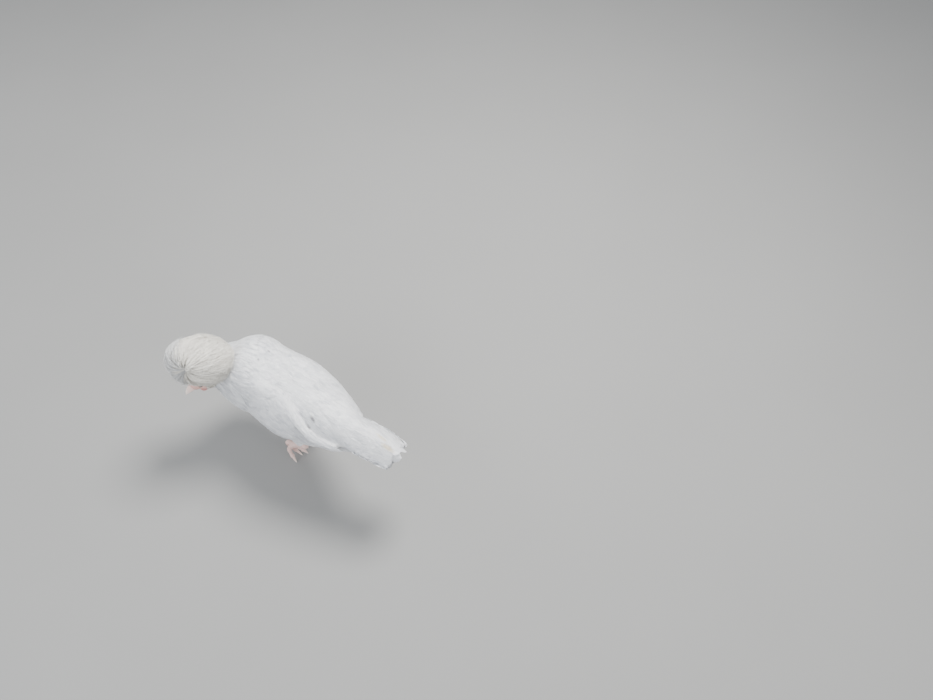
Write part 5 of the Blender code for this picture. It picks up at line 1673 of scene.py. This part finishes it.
def make_eyes():
    """Eyeballs that look out and a little forward, with how far each point is from the gaze."""
    for side, sign, place in both_sides(EYE_PLACE):
        outward = unit(HEAD_AXES[1] * sign + HEAD_AXES[0] * 0.22)
        across = unit(np.cross(outward, HEAD_AXES[2]))
        axes = (outward, across, np.cross(across, outward))
        eye = ball(f"eyeball_{side}", on_head(*place), axes, (EYE_RADIUS * 0.995,) * 3, 40, 28, EYE)
        points = points_of(eye)
        gaze = np.arccos(np.clip(unit(points - on_head(*place)) @ outward, -1, 1)) / math.radians(62)
        point_values(eye.data, gaze=gaze)
        settle(eye, "eye", f"eye_{side}")


def make_lids():
    """A rim of skin round each eye, thicker above, drawn out a little fore and aft."""
    for side, sign, (forward, left, up) in both_sides(EYE_PLACE):
        turns = np.linspace(0, 2 * np.pi, 49)[:-1]
        reach = 0.0049 * (1 + 0.10 * np.abs(np.cos(turns)) ** 3)
        height = np.where(np.sin(turns) > 0, 0.92, 0.86)
        spokes = np.outer(np.cos(turns), HEAD_AXES[0]) + np.outer(np.sin(turns) * height, HEAD_AXES[2])
        middle = on_head(forward, left * 1.10, up)
        centres = middle + spokes * reach[:, None]
        thick = 0.00085 + 0.00035 * np.clip(np.sin(turns), 0, 1)
        points, faces, around = [], [], 12
        for k in range(around):
            angle = 2 * np.pi * k / around
            ripple = 1 + 0.10 * np.sin(9 * turns + k)
            out = spokes * (thick * np.cos(angle) * ripple)[:, None]
            points.append(centres + out + HEAD_AXES[1] * sign * (thick * np.sin(angle) * 1.2)[:, None])
        points = np.stack(points, axis=1)
        for i in range(len(turns)):
            for k in range(around):
                low, high, after = i * around, ((i + 1) % len(turns)) * around, (k + 1) % around
                faces.append((low + k, low + after, high + after, high + k))
        settle(solid(f"eyelid_{side}", points.reshape(-1, 3), faces, LID), "face_skin")


def beak_half(name, upper):
    """One half of the beak, arched along its ridge, with the mouth line and the nostrils cut in."""
    steps, around = 36, 29
    share = np.linspace(0, 1, steps)
    length = BEAK_LENGTH if upper else BEAK_LENGTH * 0.84
    depth = BEAK_RISE if upper else -BEAK_DROP
    turns = np.linspace(0, np.pi, around)
    rings = []
    for t in share:
        half = BEAK_HALF_WIDTH * (1 - t**1.6) ** 0.75 + 0.0005
        tall = depth * (1 - t**1.9) ** 0.8 + math.copysign(0.0006, depth)
        level = MOUTH_LEVEL + (0.00015 if upper else -0.00015) - 0.0050 * t**2.4
        if not upper:
            half *= 0.92
        ridge = 1 + (0.10 if upper else 0.0) * np.sin(turns) ** 8
        forward = BEAK_ROOT - 0.004 + (length + 0.004) * t
        ring = [on_head(forward, half * math.cos(a), level + tall * math.sin(a) * r) for a, r in zip(turns, ridge)]
        rings.append(ring)
    made = loft(name, rings, HORN)
    if upper:
        for sign in (1, -1):
            place = on_head(BEAK_ROOT + 0.0062, sign * 0.0056, MOUTH_LEVEL + 0.0040)
            boolean(made, ball("nostril", place, HEAD_AXES, (0.0022, 0.0014, 0.0010), 16, 10), "DIFFERENCE")
    points = points_of(made)
    along = (in_head(points)[:, 0] - BEAK_ROOT) / BEAK_LENGTH
    point_values(made.data, along=np.clip(along, 0, 1))
    made.data.shade_smooth()
    made.data.set_sharp_from_angle(angle=math.radians(50))
    settle(made, "horn", name)


def soft_lobe(node, middle, sizes, material, slot, ripple):
    """A lobe of skin with shallow folds."""
    made = ball(f"{node}_skin", middle, HEAD_AXES, sizes, 40, 28, material)
    points = points_of(made)
    local = (points - middle) @ np.array(HEAD_AXES).T
    wave = np.sin(local[:, 0] * 1900 + 2.0 * np.sin(local[:, 2] * 900)) * np.cos(local[:, 2] * 1300)
    points = points + unit(points - middle) * (wave * ripple)[:, None]
    made.data.vertices.foreach_set("co", (points + SHIFT).astype(np.float32).ravel())
    made.data.update()
    settle(made, slot, node)


def make_head_skin():
    """Earlobes, wattles and the comb's two horns."""
    for kind, where, sizes, material, slot, ripple in (
        ("earlobe", EARLOBE_PLACE, EARLOBE_SIZES, EARLOBE, "earlobe_skin", 0.00022),
        ("wattle", WATTLE_PLACE, WATTLE_SIZES, COMB, "comb_skin", 0.00018),
    ):
        for side, _, place in both_sides(where):
            soft_lobe(f"{kind}_{side}", on_head(*place), sizes, material, slot, ripple)
    horns = []
    for sign in (1, -1):
        root = on_head(COMB_PLACE[0] - 0.004, sign * COMB_PLACE[1] * 0.4, COMB_PLACE[2] - 0.004)
        tip = on_head(COMB_PLACE[0] + 0.004, sign * COMB_PLACE[1] * 1.5, COMB_PLACE[2] + COMB_HORN)
        share = np.linspace(0, 1, 26)
        bow = np.outer(np.sin(np.pi * share) * 0.0006, HEAD_AXES[0])
        radii = COMB_RADIUS * (1.10 - share**2 * 0.85) * (1 + 0.05 * np.sin(share * 26))
        horns.append(tube("comb_skin", root + np.outer(share, tip - root) + bow, radii, 28, BACK + 0.2 * UP, COMB))
    comb = boolean(horns[0], horns[1], "UNION")
    comb.data.shade_smooth()
    settle(comb, "comb_skin", "comb")


make_eyes()
make_lids()
beak_half("beak_upper", True)
beak_half("beak_lower", False)
make_head_skin()


# Legs: scaled shanks and toes, and claws

TOE_LENGTHS = {"inner": 0.038, "middle": 0.050, "outer": 0.040, "hind": 0.017}
TOE_TURNS = {"inner": -42, "middle": 0, "outer": 40, "hind": 172}
TOE_RADIUS = 0.0044
TOE_TAPER = 0.0013
TOE_KNUCKLE = 0.0004
CLAW_LENGTH = 0.0105
CLAW_RADIUS = 0.0026
SHANK_RADIUS = 0.0046
HUB_SIZE = (0.0066, 0.0068, 0.0068)
HOCK_SIZE = (0.0068, 0.0066, 0.0070)
SHANK_SCUTE = 0.0034
TOE_SCUTE = 0.0026


def toe_line(side, toe):
    """Middle line of a toe and its claw, and the share of it that is toe."""
    length = TOE_LENGTHS[toe]
    total = length + CLAW_LENGTH
    if side == "left":
        spreads = {"inner": -0.020, "middle": -0.004, "outer": 0.012, "hind": 0.0}
        if toe == "hind":
            corners = (LEFT_HUB, LEFT_HUB + (-0.001, 0.011, -0.007), LEFT_HUB + (-0.004, 0.019, -0.020))
            return curve_points(corners, np.linspace(0, 1, 10)), length / total
        aside, drop = spreads[toe], LEFT_HUB[2] - 0.0012
        bow = math.sqrt(max(0.0, total**2 - drop**2 - aside**2)) * 0.55
        corners = (LEFT_HUB, LEFT_HUB + (aside * 0.5, -bow, -drop * 0.48), LEFT_HUB + (aside, 0.002, -drop))
        return curve_points(corners, np.linspace(0, 1, 14)), length / total
    turn = math.radians(TOE_TURNS[toe])
    ahead = np.array((-math.sin(turn), -math.cos(turn), 0))
    line = []
    for t in np.linspace(0, 1, 12):
        reach = total * t
        arch = HUB_HEIGHT * (1 - min(1.0, reach / 0.016)) ** 1.5
        end = max(0.0, (reach - length) / CLAW_LENGTH)
        level = 0.0038 - 0.0008 * t + arch * 0.55
        level += 0.0016 * math.sin(math.pi * min(1.0, end)) - 0.0024 * end**2
        line.append(np.array((RIGHT_HUB[0], RIGHT_HUB[1], 0)) + ahead * reach + UP * level)
    return np.array(line), length / total


def scaled_tube(name, points, radii, count, up, scute_length, front, material):
    """A limb with broad overlapping scutes along its front and finer skin behind."""
    sides, ups = line_frames(points, up)
    turns = 2 * np.pi * np.arange(count) / count
    steps = np.linalg.norm(np.diff(points, axis=0), axis=1)
    reach = np.concatenate(((0.0,), np.cumsum(steps)))
    phase = (reach / scute_length) % 1.0
    facing = np.clip(np.cos(turns - front) * 1.6, 0, 1)
    step = 0.00028 * (phase - 0.35)[:, None] * facing[None]
    edge = np.clip(1 - np.minimum(phase, 1 - phase) / 0.14, 0, 1)[:, None] * facing[None]
    grown = np.asarray(radii)[:, None] + step - 0.00012 * edge
    rings = points[:, None] + sides[:, None] * (np.sin(turns) * grown)[..., None]
    rings = rings + ups[:, None] * (np.cos(turns) * grown)[..., None]
    made = loft(name, rings, material)
    point_values(made.data, crease=edge.ravel(), plain=np.broadcast_to(1 - facing, edge.shape).ravel())
    return made


def make_leg(side):
    """One shank with its hock, hub and toes in one piece, and four claws."""
    hock, hub = (RIGHT_HOCK, RIGHT_HUB + UP * HUB_HEIGHT) if side == "right" else (LEFT_HOCK, LEFT_HUB)
    start = hock + unit(hub - hock) * -0.004
    share = np.linspace(0, 1, 150)
    radii = SHANK_RADIUS * (1 + 0.38 * (1 - share) ** 4 + 0.22 * share**5)
    points = start + np.outer(share, hub - start)
    leg = scaled_tube(f"leg_{side}", points, radii, 32, LEFT, SHANK_SCUTE, 0.0, LEG)
    downward = unit(hub - hock)
    axes = (downward, LEFT, np.cross(LEFT, downward))
    pieces = [ball("hub", hub + downward * 0.001, axes, HUB_SIZE, 32, 20, LEG)]
    pieces.append(ball("hock", start + downward * 0.0015, axes, HOCK_SIZE, 32, 20, LEG))
    for toe in TOE_TURNS:
        line, part = toe_line(side, toe)
        knuckles = 2 if toe == "hind" else 3
        places = np.linspace(0, 1, 90)
        middle = curve_points(line, part * places)
        thick = TOE_RADIUS - TOE_TAPER * places + TOE_KNUCKLE * np.cos(2 * np.pi * places * knuckles)
        up = LEFT if side == "left" else UP
        front = np.pi / 2 if side == "left" else 0.0
        pieces.append(scaled_tube("toe", middle, thick - 0.00005, 24, up, TOE_SCUTE, front, LEG))
        places = np.linspace(0, 1, 24)
        middle = curve_points(line, part - 0.02 + (1.02 - part) * places)
        claw = tube(f"claw_{side}_{toe}_horn", middle, CLAW_RADIUS * (1 - places) ** 0.7 + 0.00025, 24, up, HORN)
        point_values(claw.data, along=np.repeat(places, 24))
        above_floor(claw)
        settle(claw, "horn", f"claw_{side}_{toe}")
    for piece in pieces:
        boolean(leg, piece, "UNION")
    above_floor(leg)
    leg.data.shade_smooth()
    settle(leg, "leg_scale", f"shank_{side}", f"foot_{side}")


def above_floor(made):
    """Flattens what would reach below the floor, where the hen rests."""
    co = np.empty(len(made.data.vertices) * 3)
    made.data.vertices.foreach_get("co", co)
    co = co.reshape(-1, 3)
    co[:, 2] = np.maximum(co[:, 2], SHIFT[2])
    made.data.vertices.foreach_set("co", co.astype(np.float32).ravel())
    made.data.update()


make_leg("left")
make_leg("right")


# Floor, light and camera

FLOOR_HALF_SIZE = 6.0
CAMERA_PLACE = (0.422, 0.603, 1.200)
CAMERA_LOOK = (-0.4949, -0.3092, -0.8121)
FOCAL_PIXELS = 800
PICTURE_WIDTH = 933
FILM_WIDTH = 36.0


def make_floor():
    """A plain pale floor."""
    material, nodes, shader = new_material("studio_floor", Roughness=0.85)
    position = nodes.add("ShaderNodeTexCoord").outputs["Object"]
    mottle = use_group(nodes, MOTTLE, {"Position": position, "Coarse": 3.0, "Fine": 60.0})
    nodes.put(
        shader.inputs["Base Color"],
        nodes.mix(mottle.outputs["Patches"], rgb(0.265, 0.265, 0.26), rgb(0.29, 0.29, 0.285)),
    )
    size = FLOOR_HALF_SIZE
    corners = ((-size, -size, 0), (size, -size, 0), (size, size, 0), (-size, size, 0))
    floor = solid("studio_floor", np.array(corners, float) - SHIFT, [(0, 1, 2, 3)], material, False)


def soft_light(name, place, target, size, power, colour=(1.0, 1.0, 1.0)):
    """A round soft light that faces its target."""
    light = bpy.data.lights.new(name, "AREA")
    light.shape = "DISK"
    light.size = size
    light.energy = power
    light.color = colour
    made = bpy.data.objects.new(name, light)
    made.location = place
    direction = Vector(target) - Vector(place)
    made.rotation_euler = direction.to_track_quat("-Z", "Y").to_euler()
    bpy.context.scene.collection.objects.link(made)


def make_lights():
    """A warm key, a cooler fill, two faint lights fore and aft, and a pale surround."""
    soft_light("key_light", (-0.70, 0.15, 1.60), (0, 0, 0.12), 0.7, 54.0, (1.0, 0.985, 0.96))
    soft_light("fill_light", (1.5, -0.3, 1.2), (0, 0, 0.12), 1.8, 30.0, (0.95, 0.975, 1.0))
    soft_light("front_light", (0.2, -1.7, 0.9), (0, 0, 0.14), 1.2, 10.0)
    soft_light("rear_light", (0.2, 1.8, 0.9), (0, 0, 0.14), 1.2, 12.0)
    world = bpy.context.scene.world or bpy.data.worlds.new("studio")
    bpy.context.scene.world = world
    world.use_nodes = True
    background = world.node_tree.nodes["Background"]
    background.inputs["Color"].default_value = (0.90, 0.94, 1.0, 1.0)
    background.inputs["Strength"].default_value = 0.62


def make_camera():
    """The photo's view: high behind the hen's left side, looking down."""
    lens = bpy.data.cameras.new("photo_view")
    lens.sensor_width = FILM_WIDTH
    lens.lens = FOCAL_PIXELS / PICTURE_WIDTH * FILM_WIDTH
    lens.clip_start = 0.05
    camera = bpy.data.objects.new("photo_view", lens)
    camera.location = Vector(np.array(CAMERA_PLACE) + SHIFT)
    camera.rotation_euler = Vector(CAMERA_LOOK).to_track_quat("-Z", "Y").to_euler()
    bpy.context.scene.collection.objects.link(camera)
    bpy.context.scene.camera = camera


make_floor()
make_lights()
make_camera()


def plain(corners):
    """Corners as plain lists of numbers."""
    return [[float(v) for v in corner] for corner in corners]
